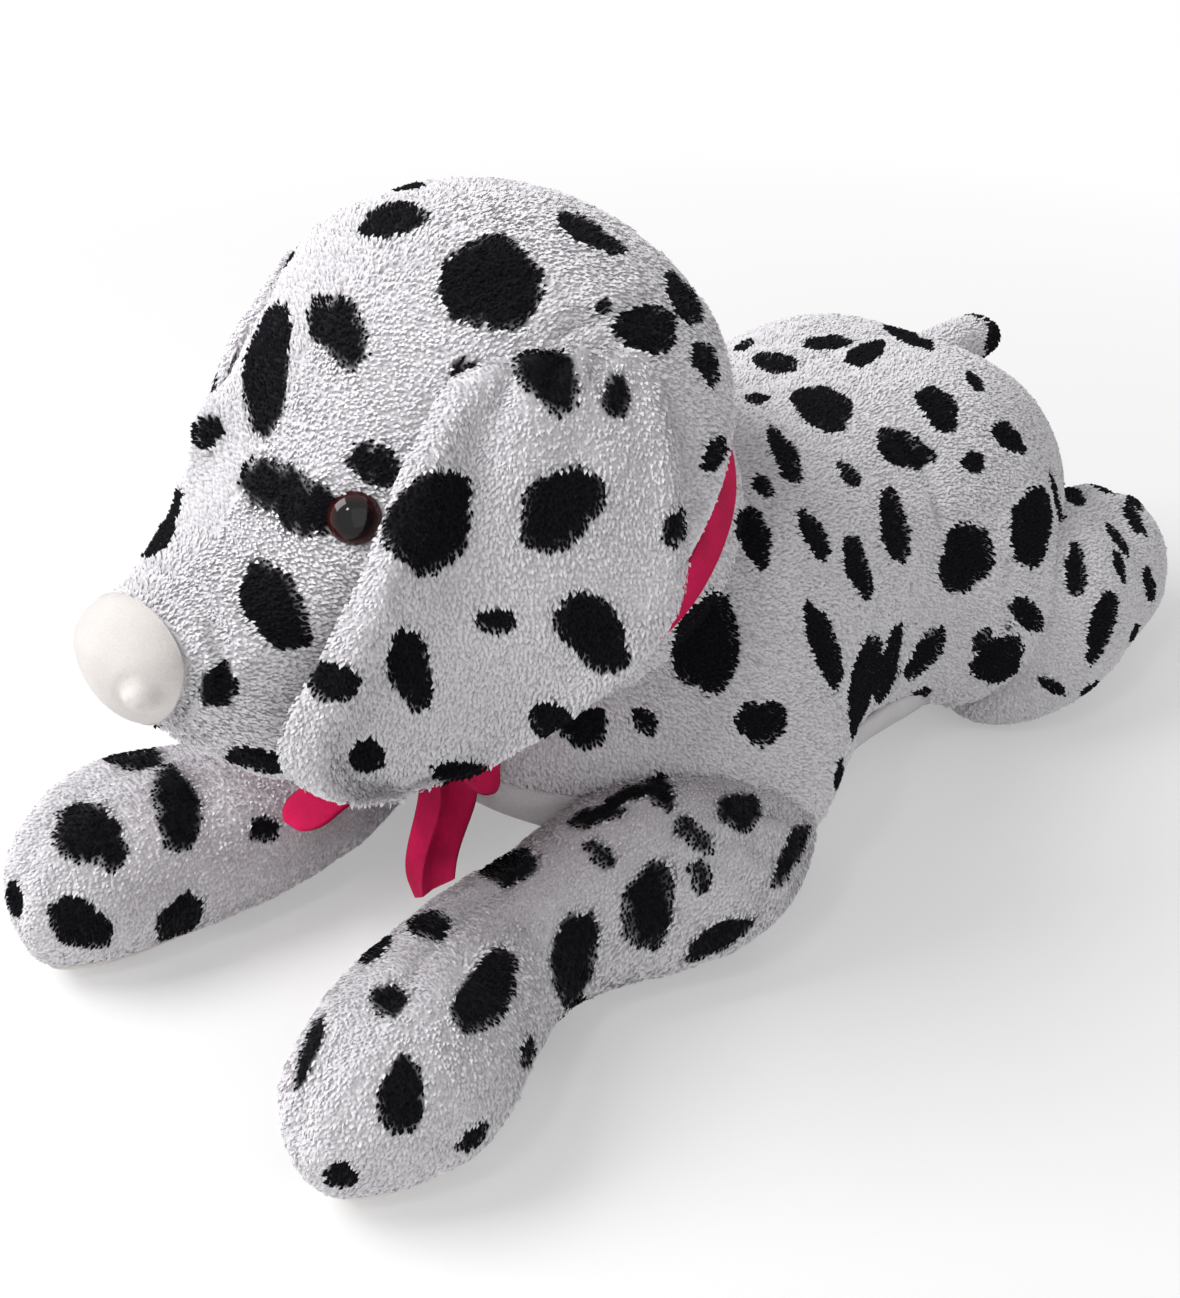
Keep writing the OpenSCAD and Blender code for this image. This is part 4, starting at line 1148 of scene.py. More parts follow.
@dataclass
class Kit:
    """What every sub-assembly needs: the materials, the pile and the markings."""

    wardrobe: Wardrobe
    pile: Pile
    markings: Markings

    def backing(self, skin: Skin, group: str, name: str, surface: Surface = Surface.PILE,
                spotted: "Keep | None" = None) -> bpy.types.Object:
        """The cover's own mesh in its cloth, with the spots as an attribute.

        Args:
            skin: The cover.
            group: Its group of spots.
            name: The piece's name.
            surface: Its finish.
            spotted: Where the spots show, or everywhere.

        Returns:
            The object.
        """
        obj = skin.mesh(name)
        points = skin.flat(skin.points)
        shown = smooth(self.markings.value(group, points) / 0.16 + 0.5)
        set_values(obj, "spot", shown if spotted is None else np.where(spotted(points), shown, 0.0))
        material = self.wardrobe.backing if surface is Surface.PILE else self.wardrobe.short
        self.wardrobe.dress(obj, surface, material)
        return obj

    def tufts(self, skin: Skin, group: str, comb: Array, keep: "Keep", seed: int,
              parts: dict[str, "Keep"]) -> dict[str, bpy.types.Object]:
        """Plants the pile of a cover and cuts it into its sewn panels.

        Args:
            skin: The cover.
            group: Its group of spots.
            comb: Direction of the pile: one vector, or a function of the roots.
            keep: Which roots to keep.
            seed: Seed of the planting.
            parts: Name of each panel, and which roots are its own.

        Returns:
            The panels' objects by name.
        """
        rng = np.random.default_rng(SEED * 100 + seed)
        row, column = self.pile.roots(skin, rng)
        p = skin.at(row, column, skin.points)
        n = unit(skin.at(row, column, skin.normals()))
        stay = keep(p)
        p, n = p[stay], n[stay]
        way = comb(p) if callable(comb) else np.broadcast_to(comb, p.shape)
        way = way + 0.35 * np.stack([lumps(p, 90, seed + 11 + k) for k in range(3)], -1)
        leaves = self.pile.leaves(p, n, way, rng)
        spot = (self.markings.value(group, p, rng.normal(0, 0.03, len(p))) > 0).astype(float)
        tint = np.clip(rng.normal(0.6, 0.25, len(p)) + 0.15 * lumps(p, 40, seed), 0, 1)
        made = {}
        for name, own in parts.items():
            mine = own(p)
            made[name] = self.pile.piece(name, leaves[mine], spot[mine], tint[mine])
            self.wardrobe.dress(made[name], Surface.PILE, self.wardrobe.tufts)
            log.info("%s: %d tufts", name, int(mine.sum()))
        return made


class Keep:
    """A test of points in mm that says which of them a piece keeps."""

    def __init__(self, *tests: object) -> None:
        """Keeps the tests; a point has to pass them all."""
        self.tests = tests

    def __call__(self, p: Array) -> Array:
        """True for each point that passes every test."""
        stay = np.ones(len(p), bool)
        for test in self.tests:
            stay &= test(p)
        return stay


def under_panel(name: str, form: Form, u: Array, seam: Array | float, *, least: float, columns: int,
                rim: float, back: float, floor: float, puff: float = 0.0) -> Skin:
    """A thin smooth panel under a form: rings whose outer face follows the form below a seam.

    Args:
        name: The panel's name.
        form: The form that it follows.
        u: Places of the rings.
        seam: Height of the seam there, in mm.
        least: The least half angle of a ring that is kept, in degrees.
        columns: Points across a ring's face.
        rim: How far its edge lies inside the form, in mm.
        back: How far its inner face lies inside the form.
        floor: Its least height.
        puff: Height of its soft lumps.

    Returns:
        The panel as a closed cover.
    """
    section = form.at(u)
    full = section[:, 4] * form.close(u, form.below)
    rise = np.clip((section[:, 1] - seam) / np.maximum(full, 1e-6), 0.0, 1.0)
    half = 90.0 - np.degrees(np.arcsin(rise ** (1 / form.power)))
    u, half = u[half > least][:, None], half[half > least][:, None]
    a = np.linspace(-1, 1, columns)
    outer, normal = form.point(u, -90 + half * a), form.normal(u, -90 + half * a)
    edge = (1 - np.abs(a) ** 10)[None, :, None]
    swells = lumps(outer, 60, 21)[..., None] * puff
    front = outer - normal * (rim - 2.0 * edge - swells * edge)
    panel = Skin(name, np.concatenate([front, (outer - normal * back)[:, ::-1]], axis=1))
    panel.points[..., 2] = np.maximum(panel.points[..., 2], floor)
    return panel


def strip(name: str, path: Array, across: Array, face: Array, thick: float, columns: int = 24,
          fold: float = 0.0) -> Skin:
    """A band of cloth: a flat rounded section carried along a path.

    At w from -1 to 1 across the band its half thickness goes by the root of 1 - w^8. A folded band's first
    half rises towards the middle, where its edge laps over the other half.

    Args:
        name: The band's name.
        path: Middle of the band at each row, shape (rows, 3), in mm.
        across: Half width vector at each row.
        face: Unit normal of the band at each row.
        thick: Thickness in mm.
        columns: Points round the section.
        fold: Height of the lapping edge in mm.

    Returns:
        The band as a closed cover.
    """
    w = np.linspace(-1, 1, columns // 2, endpoint=False)
    wide, front = np.concatenate([-w, w]), np.repeat([-1.0, 1.0], columns // 2)
    high = thick / 2 * front * np.sqrt(1 - wide**8) + fold * np.where(wide < 0, 1 + wide, 0.0)
    rings = path[:, None] + across[:, None] * wide[None, :, None] + face[:, None] * high[None, :, None]
    first, last = path[:1, None].repeat(columns, 1), path[-1:, None].repeat(columns, 1)
    return Skin(name, np.concatenate([first, rings, last]))


@dataclass
class Torso:
    """The body: two pile sides sewn along the spine, and a smooth belly that comes up as the chest."""

    kit: Kit | None = None
    rows: int = 110
    columns: int = 168
    seam_front: float = 92.0
    seam_back: float = 24.0
    lid: float = -10.0
    belly_in: float = 4.0
    shoulder: tuple[float, float, float] = (-108.0, 72.0, 25.0)
    hip: tuple[float, float, float] = (84.0, 70.0, 24.0)
    bulge: tuple[float, float, float] = (46.0, 54.0, 40.0)
    furred_bulge: tuple[float, float, float] = (62.0, 96.0, 8.0)
    filling: Filling = Filling(2.5, 3.5)

    def seam_height(self, y: Array) -> Array:
        """Height of the belly seam at y: a straight line from the chest down to the rump."""
        middle, fall = (self.seam_front + self.seam_back) / 2, self.seam_front - self.seam_back
        return middle - y * fall / (TORSO.back - TORSO.front)

    def shape(self) -> Skin:
        """The cover: the form with a seam along the spine, soft lumps, and a flat lid under the ribbon.

        It swells out at the shoulders and hips, where the legs are sewn on.
        """
        skin = Skin.over("torso", TORSO, self.rows, self.columns, SKIN_IN + self.filling.depth)
        p = skin.points
        held = np.maximum(bell(np.abs(p[..., 0]) + np.where(p[..., 2] > 94, 0, 99), SEAM_HOLD),
                          bell(p[..., 2] - self.seam_height(p[..., 1]), SEAM_HOLD))
        self.filling.into(skin, held)
        skin.push(1.3 * lumps(skin.points, 110, 3) + 0.5 * lumps(skin.points, 34, 4))
        long, high, apart = self.bulge
        for side in Side:
            for y, z, out in (self.shoulder, self.hip):
                d = np.hypot((skin.points[..., 1] - y) / long, (skin.points[..., 2] - z) / high)
                skin.push(out * bell(d, 1.0) * (side.value * skin.points[..., 0] > apart))
        skin.groove(TORSO.point(np.linspace(-0.3, 0.8, 24), 90.0), 3.5, 2.4, 1.0)
        skin.push(np.where(self.furred(skin.points), 0.0, -self.belly_in))
        h, _ = neck_place(skin.points)
        skin.points = skin.points - np.maximum(0.0, h - self.lid)[..., None] * NECK_AXIS
        skin.points[..., 2] = np.maximum(skin.points[..., 2], 1.6)
        return skin

    def furred(self, p: Array) -> Array:
        """Points over the belly seam, and those on the shoulders and hips, where pile runs to the legs."""
        long, apart, floor = self.furred_bulge
        near = np.minimum(np.abs(p[..., 1] - self.shoulder[0]), np.abs(p[..., 1] - self.hip[0]))
        bulged = (near < long) & (np.abs(p[..., 0]) > apart) & (p[..., 2] > floor)
        return (p[..., 2] > self.seam_height(p[..., 1]) + 1.0) | bulged

    def build(self, skin: Skin, legs: dict[str, Form]) -> None:
        """Makes and dresses the cover, its pile and the belly panel.

        Args:
            skin: The shaped cover.
            legs: The legs' forms, where the body's pile stops.
        """
        k = self.kit
        body = k.backing(skin, "body", name="torso_stuffed_body", spotted=Keep(self.furred))
        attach(body, "torso")
        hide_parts("torso_stuffing")
        clear = [lambda p, f=f: f.depth(p) > 0.6 for f in legs.values()]
        keep = Keep(self.furred, lambda p: neck_place(p)[0] < self.lid - 0.5, *clear)
        made = k.tufts(skin, "body", np.array([0.0, 0.75, -0.65]), keep, 1, {
            "torso_left_pile": Keep(lambda p: p[:, 0] >= 0), "torso_right_pile": Keep(lambda p: p[:, 0] < 0)})
        for side in Side:
            piece = made[f"torso_{side.word}_pile"]
            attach(piece, "torso")
            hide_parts(f"torso_{side.word}_cover")
        self.belly()

    def belly(self) -> None:
        """The smooth panel below the side seams."""
        u = -np.cos(np.linspace(0.02, np.pi - 0.02, 90))
        panel = under_panel("belly_smooth_panel", TORSO, u, self.seam_height(TORSO.y_at(u)), least=1.5,
                            columns=60, rim=2.6, back=4.5, floor=0.3, puff=0.6)
        obj = self.kit.backing(panel, "none", panel.name, Surface.SHORT_PILE)
        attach(obj, "torso")
        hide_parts("belly_panel")


@dataclass
class Leg:
    """A stuffed leg: outer and inner pile panels sewn along the top of the paw, and a smooth sole."""

    kit: Kit | None
    name: str
    body: str
    paw: str
    form: Form
    side: Side
    seam_x: float
    toe: int
    sole_l: float = 92.0
    sole_h: float = 11.0
    rows: int = 84
    columns: int = 108
    root_low: float = 0.25
    root_run: float = 90.0
    filling: Filling = Filling(2.0, 3.0)
    root: tuple[float, float, float] = (0.0, 0.0, 0.0)
    bend_end: tuple[float, float, float] = (0.0, 0.0, 0.0)

    def shape(self) -> Skin:
        """The cover: the form with the seam over the paw's top, a lowered root, soft lumps, flat below."""
        skin = Skin.over(self.name, self.form, self.rows, self.columns, SKIN_IN + self.filling.depth)
        top = self.seam_line()
        self.filling.into(skin, bell(distance_to_line(skin.points, top), SEAM_HOLD))
        skin.groove(top, 4.0, 3.0, 1.6)
        p = skin.points
        low = self.form.at(np.array([-self.toe * 0.8]))[0, 1]
        root = smooth(1.1 + self.toe * (self.root[1] - p[..., 1]) / self.root_run)
        p[..., 2] -= self.root_low * root * np.maximum(0.0, p[..., 2] - low)
        skin.push(1.1 * lumps(skin.points, 80, 5) + 0.5 * lumps(skin.points, 26, 6))
        skin.points[..., 2] = np.maximum(skin.points[..., 2], 1.5)
        return skin

    def seam_line(self) -> Array:
        """The seam over the paw: the form's crest from the tip to the wrist."""
        tip, wrist = self.toe * FORM_END, self.toe * 0.1
        return self.form.point(np.linspace(tip, wrist, 24), 90.0)

    def build(self, skin: Skin, torso: Form) -> None:
        """Makes and dresses the cover, its two pile panels and its sole.

        Args:
            skin: The shaped cover.
            torso: The body's form, where the leg's pile stops.
        """
        k = self.kit
        cover = k.backing(skin, "body", name=f"{self.name}_stuffed_leg")
        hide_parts(f"{self.name}_stuffing")
        reach = self.form.front + self.sole_l if self.toe < 0 else self.form.back - self.sole_l
        bare = Keep(lambda p: ~((p[:, 2] < self.sole_h) & (self.toe * (p[:, 1] - reach) > 0)),
                    lambda p: p[:, 2] > 3.0, lambda p: torso.depth(p) > PILE_FROM)
        outer = Keep(lambda p: self.side.value * (p[:, 0] - self.seam_x) >= 0)
        inner = Keep(lambda p: self.side.value * (p[:, 0] - self.seam_x) < 0)
        comb = np.array([0.1 * self.side.value, 0.75 * self.toe, -0.6])
        parts = {f"{self.name}_outer_pile": outer, f"{self.name}_inner_pile": inner}
        made = k.tufts(skin, "body", comb, bare, sum(map(ord, self.name)), parts)
        for part, piece in made.items():
            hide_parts(part.replace("_pile", ""))
        sole = self.sole()
        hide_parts(f"{self.side.word}_{self.paw}_sole")
        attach(sole, self.body)
        for piece in (cover, *made.values()):
            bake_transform(piece)

    def sole(self) -> bpy.types.Object:
        """The smooth panel below the sole's seam."""
        reach = 1 - 2 * self.sole_l / (self.form.back - self.form.front)
        u = self.toe * (1 - (1 - reach) * (np.linspace(0.12, 1, 40) ** 2))
        if self.toe > 0:
            u = u[::-1]
        panel = under_panel(f"{self.name}_smooth_sole", self.form, u, self.sole_h, least=2.0,
                            columns=40, rim=2.4, back=4.0, floor=0.2)
        obj = panel.mesh()
        self.kit.wardrobe.dress(obj, Surface.VELOUR, self.kit.wardrobe.velour)
        return obj


@dataclass
class Tail:
    """The short stuffed tail with a black tip: one spot, by its middle and its three half axes in mm."""

    kit: Kit | None = None
    tip: tuple[float, float, float] = (0.0, 214.0, 160.0)
    tip_deep: float = 34.0
    tip_wide: float = 24.0
    tip_high: float = 17.0

    def mark(self, markings: Markings) -> None:
        """Adds the black tip to the markings."""
        deep, wide, high = (np.array([v]) for v in ((0, self.tip_deep, 0), (self.tip_wide, 0, 0),
                                                    (0, 0, self.tip_high)))
        markings.add(["tail"], np.array([self.tip]), deep, wide, high)

    def shape(self) -> Skin:
        """The cover over the tail's form."""
        skin = Skin.over("tail", TAIL, 40, 48, 1.2)
        skin.push(0.6 * lumps(skin.points, 24, 8))
        return skin

    def build(self, skin: Skin) -> None:
        """Makes and dresses the cover and its pile."""
        k = self.kit
        cover = k.backing(skin, "tail", name="tail_stuffed")
        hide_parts("tail_stuffing")
        keep = Keep(lambda p: TORSO.depth(p) > PILE_FROM)
        made = k.tufts(skin, "tail", np.array([0.0, 1.0, -0.2]), keep, 31, {"tail_pile": Keep()})
        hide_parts("tail_cover")
        for piece in (cover, made["tail_pile"]):
            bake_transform(piece)


@dataclass
class Head:
    """The head: two face panels and a back panel of pile, a velour nose and two safety eyes."""

    kit: Kit | None = None
    rows: int = 120
    columns: int = 168
    cone: float = 12.0
    nose_y: float = -365.4
    nose_z: float = 222.0
    nose_lean: float = 12.0
    nose_crown: float = 6.0
    back_y: float = -183.0
    back_lean: float = -6.0
    eye_u: float = -0.45
    eye_angle: float = 39.0
    eye_d: float = 21.0
    eye_h: float = 8.0
    eye_sink: float = 3.0
    brow_at: tuple[float, float, float] = (13.0, -3.0, 12.0)
    brow_h: tuple[float, float] = (4.5, 10.0)
    rim_r: float = 95.0
    rim_slope: float = 0.6
    rim_h: float = 18.0
    rim_gap: float = 1.5
    rim_bare: float = 4.5
    neck_r: float = 140.0
    nub: tuple[float, float, float] = (18.0, -375.0, 217.0)
    filling: Filling = Filling(2.5, 3.5)

    def nose_seam(self, z: Array) -> Array:
        """The nose seam's y at a height: a plane that leans back at the top."""
        return self.nose_y + (z - self.nose_z) * np.tan(np.radians(self.nose_lean))

    def back_seam(self, z: Array) -> Array:
        """The y of the seam between the face and the back of the head at a height."""
        return self.back_y + (z - self.nose_z) * np.tan(np.radians(self.back_lean))

    def eye_at(self, side: Side) -> tuple[Array, Array]:
        """Middle of an eye on the form, and the normal there."""
        flip = np.array([side.value, 1, 1])
        u, a = np.array([self.eye_u]), np.array([self.eye_angle])
        return HEAD.point(u, a)[0] * flip, HEAD.normal(u, a)[0] * flip

    def shape(self) -> Skin:
        """The cover: the form filled between its seams, a hollow and a brow at each eye, a cone cut below."""
        skin = Skin.over("head", HEAD, self.rows, self.columns, SKIN_IN + self.filling.depth)
        y, z = skin.points[..., 1], skin.points[..., 2]
        nose, back = np.abs(y - self.nose_seam(z)), np.abs(y - self.back_seam(z))
        self.filling.into(skin, np.maximum(bell(nose, SEAM_HOLD), bell(back, SEAM_HOLD)))
        skin.push(1.2 * lumps(skin.points, 100, 13) + 0.5 * lumps(skin.points, 30, 14))
        for side in Side:
            middle, _ = self.eye_at(side)
            d = np.linalg.norm(skin.points - middle, axis=-1)
            over = np.array(self.brow_at) * [-side.value, 1, 1]
            brow = np.linalg.norm(skin.points - middle - over, axis=-1)
            high = self.brow_h[0] if side is Side.LEFT else self.brow_h[1]
            skin.push(2.0 * bell(d - 19, 6) - 1.6 * bell(d, 10) + high * bell(brow, 16))
        self.narrow(skin)
        h, r = neck_place(skin.points)
        lift = np.maximum(0.0, r * np.tan(np.radians(self.cone)) + self.rim_gap - h)
        skin.points = skin.points + np.where(r < self.neck_r, lift, 0.0)[..., None] * NECK_AXIS
        return skin

    def narrow(self, skin: Skin) -> None:
        """Draws the cover in towards the ribbon, but not at the chin: its radius is held to a rising line."""
        d = skin.points - NECK_AT
        h = d @ NECK_AXIS
        spoke = d - h[..., None] * NECK_AXIS
        r = np.maximum(np.linalg.norm(spoke, axis=-1), 1e-6)
        fade = smooth((0.4 - (spoke @ NECK_FRONT) / r) / 0.35)
        over = np.maximum(0.0, r - self.rim_r - self.rim_slope * np.maximum(0.0, h - self.rim_h))
        skin.points = skin.points - spoke * (over * fade / r)[..., None]

    def build(self, skin: Skin) -> None:
        """Makes and dresses the cover, its pile panels, the nose and the eyes."""
        k = self.kit
        cover = k.backing(skin, "head", name="head_stuffed")
        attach(cover, "head")
        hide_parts("head_stuffing")
        eyes = [self.eye_at(side)[0] for side in Side]

        def clear(p: Array) -> Array:
            """Roots that aren't under an eye, in the nose or in the cut over the neck."""
            h, r = neck_place(p)
            over = h - r * np.tan(np.radians(self.cone))
            free = (p[:, 1] > self.nose_seam(p[:, 2]) + 1.0) & ((over > self.rim_bare) | (r > self.neck_r))
            for e in eyes:
                free &= np.linalg.norm(p - e, axis=1) > self.eye_d / 2 - 0.5
            return free

        def comb(p: Array) -> Array:
            """The pile runs back from the nose and down over the sides and the back of the head."""
            down = np.clip((p[:, 1] + 230) / 120, 0, 1)
            return np.stack([0.3 * np.sign(p[:, 0]), 0.9 - 0.5 * down, -0.3 - 0.6 * down], -1)

        face = Keep(lambda p: p[:, 1] <= self.back_seam(p[:, 2]))
        made = k.tufts(skin, "head", comb, Keep(clear), 2, {
            "face_left_pile": Keep(face, lambda p: p[:, 0] >= 0),
            "face_right_pile": Keep(face, lambda p: p[:, 0] < 0),
            "head_back_pile": Keep(lambda p: p[:, 1] > self.back_seam(p[:, 2]))})
        for name, piece in made.items():
            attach(piece, "head")
            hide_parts(name.replace("_pile", "_cover"))
        self.nose()
        for side in Side:
            self.eye(side)

    def nose(self) -> None:
        """The velour nose: the form in front of its seam, rounded into the seam, with one nostril nub."""
        a = np.arange(120) * 3.0 - 90.0
        u = np.full(120, -0.8)
        for _ in range(8):
            y = self.nose_seam(HEAD.point(u, a)[:, 2])
            u = np.clip(HEAD.u_at(y), -0.99, -0.5)
        t = np.linspace(0, 1, 44)[:, None]
        uu = -1 + (u[None] + 1) * t**1.9
        outer = HEAD.point(uu, a[None])
        body = Skin("nose", outer)
        n = body.normals()
        crown = -3.0 * t[..., None] ** 14 + 0.6 + self.nose_crown * (1 - t[..., None] ** 2)
        d = np.linalg.norm(outer - np.array(self.nub), axis=-1)[..., None]
        mound = crown + 2.0 * bell(d, 9) + 2.6 * smooth((6.5 - d) / 3)
        outer = outer + n * (mound + 1.2 * bell(d, 2.5) - 0.8 * bell(d - 8, 2))
        core = outer[-1:].mean(axis=1, keepdims=True)
        inside = np.concatenate([outer[-1:] * (1 - s) + core * s for s in (0.25, 0.6, 1.0)])
        skin = Skin("nose_velour_pad", np.concatenate([outer, inside]))
        obj = skin.mesh()
        self.kit.wardrobe.dress(obj, Surface.VELOUR, self.kit.wardrobe.velour)
        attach(obj, "head")
        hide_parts("nose_pad")

    def eye(self, side: Side) -> None:
        """A safety eye: a dome turned about the cover's normal, from its foot up to its middle."""
        middle, n = self.eye_at(side)
        e1 = unit(np.cross(n, [0.0, 0.0, 1.0]))
        e2 = np.cross(n, e1)
        r = self.eye_d / 2
        t = np.linspace(0, np.pi / 2, 20)
        radius = np.concatenate([[0.0, r * 0.6, r * 0.97], r * np.cos(t) ** 0.9])
        height = np.concatenate([[0.0, 0.0, 0.0], 0.6 + (self.eye_h - 0.6) * np.sin(t)]) - self.eye_sink
        a = np.linspace(0, 2 * np.pi, 64, endpoint=False)
        ring = np.cos(a)[None, :, None] * e1 + np.sin(a)[None, :, None] * e2
        points = middle + ring * radius[:, None, None] + n * height[:, None, None]
        skin = Skin(f"{side.word}_safety_eye", points[:, ::-1])
        obj = skin.mesh()
        set_values(obj, "ring", skin.flat(np.repeat(radius[:, None] / r, 64, axis=1)))
        self.kit.wardrobe.dress(obj, Surface.EYE, self.kit.wardrobe.eye)
        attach(obj, "head")
        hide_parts(*(f"{side.word}_eye_{part}" for part in ("dome", "pupil", "shank", "washer")))


@dataclass(frozen=True)
class EarCut:
    """An ear's two edges: at t from the root to the tip, the place u along the head and v.

    v is the angle on the head in degrees, and below 0 the distance under it in mm.
    """

    front: tuple[tuple[float, float, float], ...]
    rear: tuple[tuple[float, float, float], ...]


LEFT_EAR = EarCut(
    ((0, -0.16, 52), (0.25, -0.37, 36), (0.5, -0.60, 8), (0.75, -0.74, -31.7), (0.9, -0.66, -56.8),
     (1, -0.44, -66)),
    ((0, 0.27, 42), (0.25, 0.20, 20), (0.5, 0.16, 0), (0.75, -0.02, -31.7), (0.9, -0.22, -56.8),
     (1, -0.44, -66)))
RIGHT_EAR = EarCut(
    ((0, -0.16, 52), (0.25, -0.22, 34), (0.5, -0.32, 6), (0.75, -0.44, -33.6), (0.9, -0.38, -60.2),
     (1, -0.18, -70)),
    ((0, 0.27, 42), (0.25, 0.32, 20), (0.5, 0.34, 0), (0.75, 0.24, -33.6), (0.9, 0.06, -60.2),
     (1, -0.18, -70)))


@dataclass
class Ear:
    """A floppy ear of two layers: pile outside and a smooth lining, sewn in along the top."""

    kit: Kit | None
    side: Side
    cut: EarCut
    rows: int = 72
    columns: int = 96
    seat: float = -0.3
    lift: float = 4.0
    front_lift: float = 12.0
    rear_lift: float = 8.0
    tip_lift: float = 3.0
    opens_by: float = 0.3
    root_sink: float = 0.0

    def edge(self, t: Array, line: tuple[tuple[float, float, float], ...]) -> tuple[Array, Array]:
        """An edge's u and v at t: a cubic through its corners."""
        k = np.array(line, float)
        v = cubic(k[:, 0], k[:, 1:], t)
        return v[:, 0], v[:, 1]

    def place(self, s: Array, t: Array, out: Array) -> Array:
        """The ear's point at s across and t down, lying out from the head.

        It follows the head's form and hangs straight down from its widest line; it stands off the head by
        a roll along its front edge, a swell across its middle and folds that fan out from the root.

        Args:
            s: Places across, 0 at the front edge and 1 at the rear, shape (rows, columns).
            t: Places down, shape (rows,).
            out: Height of the layer over the head, shape (rows, columns).

        Returns:
            Points in mm, shape (rows, columns, 3).
        """
        fu, fv = self.edge(t, self.cut.front)
        ru, rv = self.edge(t, self.cut.rear)
        u = fu[:, None] * (1 - s) + ru[:, None] * s
        v = fv[:, None] * (1 - s) + rv[:, None] * s
        flat = np.maximum(v, 0.0)
        open_up = np.sin(np.pi / 2 * np.minimum(1.0, t / self.opens_by))[:, None]
        rolls = self.front_lift * bell(s - 0.09, 0.10) + self.rear_lift * bell(s - 0.94, 0.09)
        roll = rolls - 2.0 * bell(s - 0.27, 0.10) + self.lift * np.sin(np.pi * s) + self.tip_lift
        folds = 1.6 * np.sin(2 * np.pi * (2.6 * s + 0.15)) * bell(t[:, None] - 0.16, 0.14)
        sunk = self.root_sink * (1 - smooth(t / 0.5))[:, None]
        stand = self.seat - sunk + open_up * (roll + folds)
        p = HEAD.point(u, flat) + HEAD.normal(u, flat) * (stand + out)[..., None]
        p[..., 2] += np.minimum(v, 0.0)
        return p * np.array([self.side.value, 1, 1])

    def layer(self, name: str, low: float, high: float, inset: float) -> Skin:
        """One layer as a closed cover: s goes over the outer face and back under the inner one.

        Args:
            name: The layer's name.
            low: Height of its inner face.
            high: Height of its outer face.
            inset: How far its edges lie inside the ear's cut, as a share of the width.

        Returns:
            The layer.
        """
        a = np.linspace(0, 2 * np.pi, self.columns, endpoint=False)
        s = 0.5 - (0.5 - inset) * signed_power(np.cos(a), 0.9)
        t = np.linspace(0, 1, self.rows) ** 0.9
        t = inset * 0.5 + t * (1 - inset)
        taper = np.minimum(1.0, ((1 - t) / 0.06 + 0.15))[:, None]
        out = (low + high) / 2 + (high - low) / 2 * signed_power(np.sin(a), 0.45)[None] * taper
        p = self.place(np.broadcast_to(s, (self.rows, self.columns)), t, out)
        if self.side is Side.RIGHT:
            p = p[:, ::-1]
        return Skin(name, p)

    def shape(self) -> Skin:
        """The outer layer's cover."""
        skin = self.layer(f"{self.side.word}_ear", 2.4, 5.0, 0.0)
        skin.push(0.4 * lumps(skin.points, 28, 17))
        return skin

    def build(self, skin: Skin) -> None:
        """Makes and dresses both layers and the pile."""
        k = self.kit
        word = self.side.word
        outer = k.backing(skin, word + "_ear", name=f"{word}_ear_flap")
        lining = self.layer(f"{word}_ear_smooth_lining", 0.2, 2.2, 0.015)
        inner = k.backing(lining, "none", lining.name, Surface.SHORT_PILE)

        def outside(p: Array) -> Array:
            """Roots on the layer's outer face or its rim."""
            grid = skin.points.reshape(-1, 3)
            a = np.linspace(0, 2 * np.pi, self.columns, endpoint=False)
            half = (np.sin(a) > -0.12) | (np.cos(a) > 0.5)
            if self.side is Side.RIGHT:
                half = half[::-1]
            flags = np.broadcast_to(half, skin.points.shape[:2]).ravel()
            stay = np.zeros(len(p), bool)
            for part in np.array_split(np.arange(len(p)), max(1, len(p) // 1500)):
                near = ((p[part, None] - grid[None]) ** 2).sum(-1).argmin(axis=1)
                stay[part] = flags[near]
            return stay

        made = k.tufts(skin, word + "_ear", np.array([0.0, -0.25, -1.0]), Keep(outside), 40 + self.side.value,
                       {f"{word}_ear_pile": Keep()})
        pile = made[f"{word}_ear_pile"]
        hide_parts(f"{word}_ear_outer")
        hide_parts(f"{word}_ear_lining")
        middle, over = np.array([[0.5]]), np.array([[1.0]])
        top, low = (self.place(middle, np.array([t]), over)[0, 0] for t in (0.02, 0.3))
        for piece in (outer, inner, pile):
            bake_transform(piece)


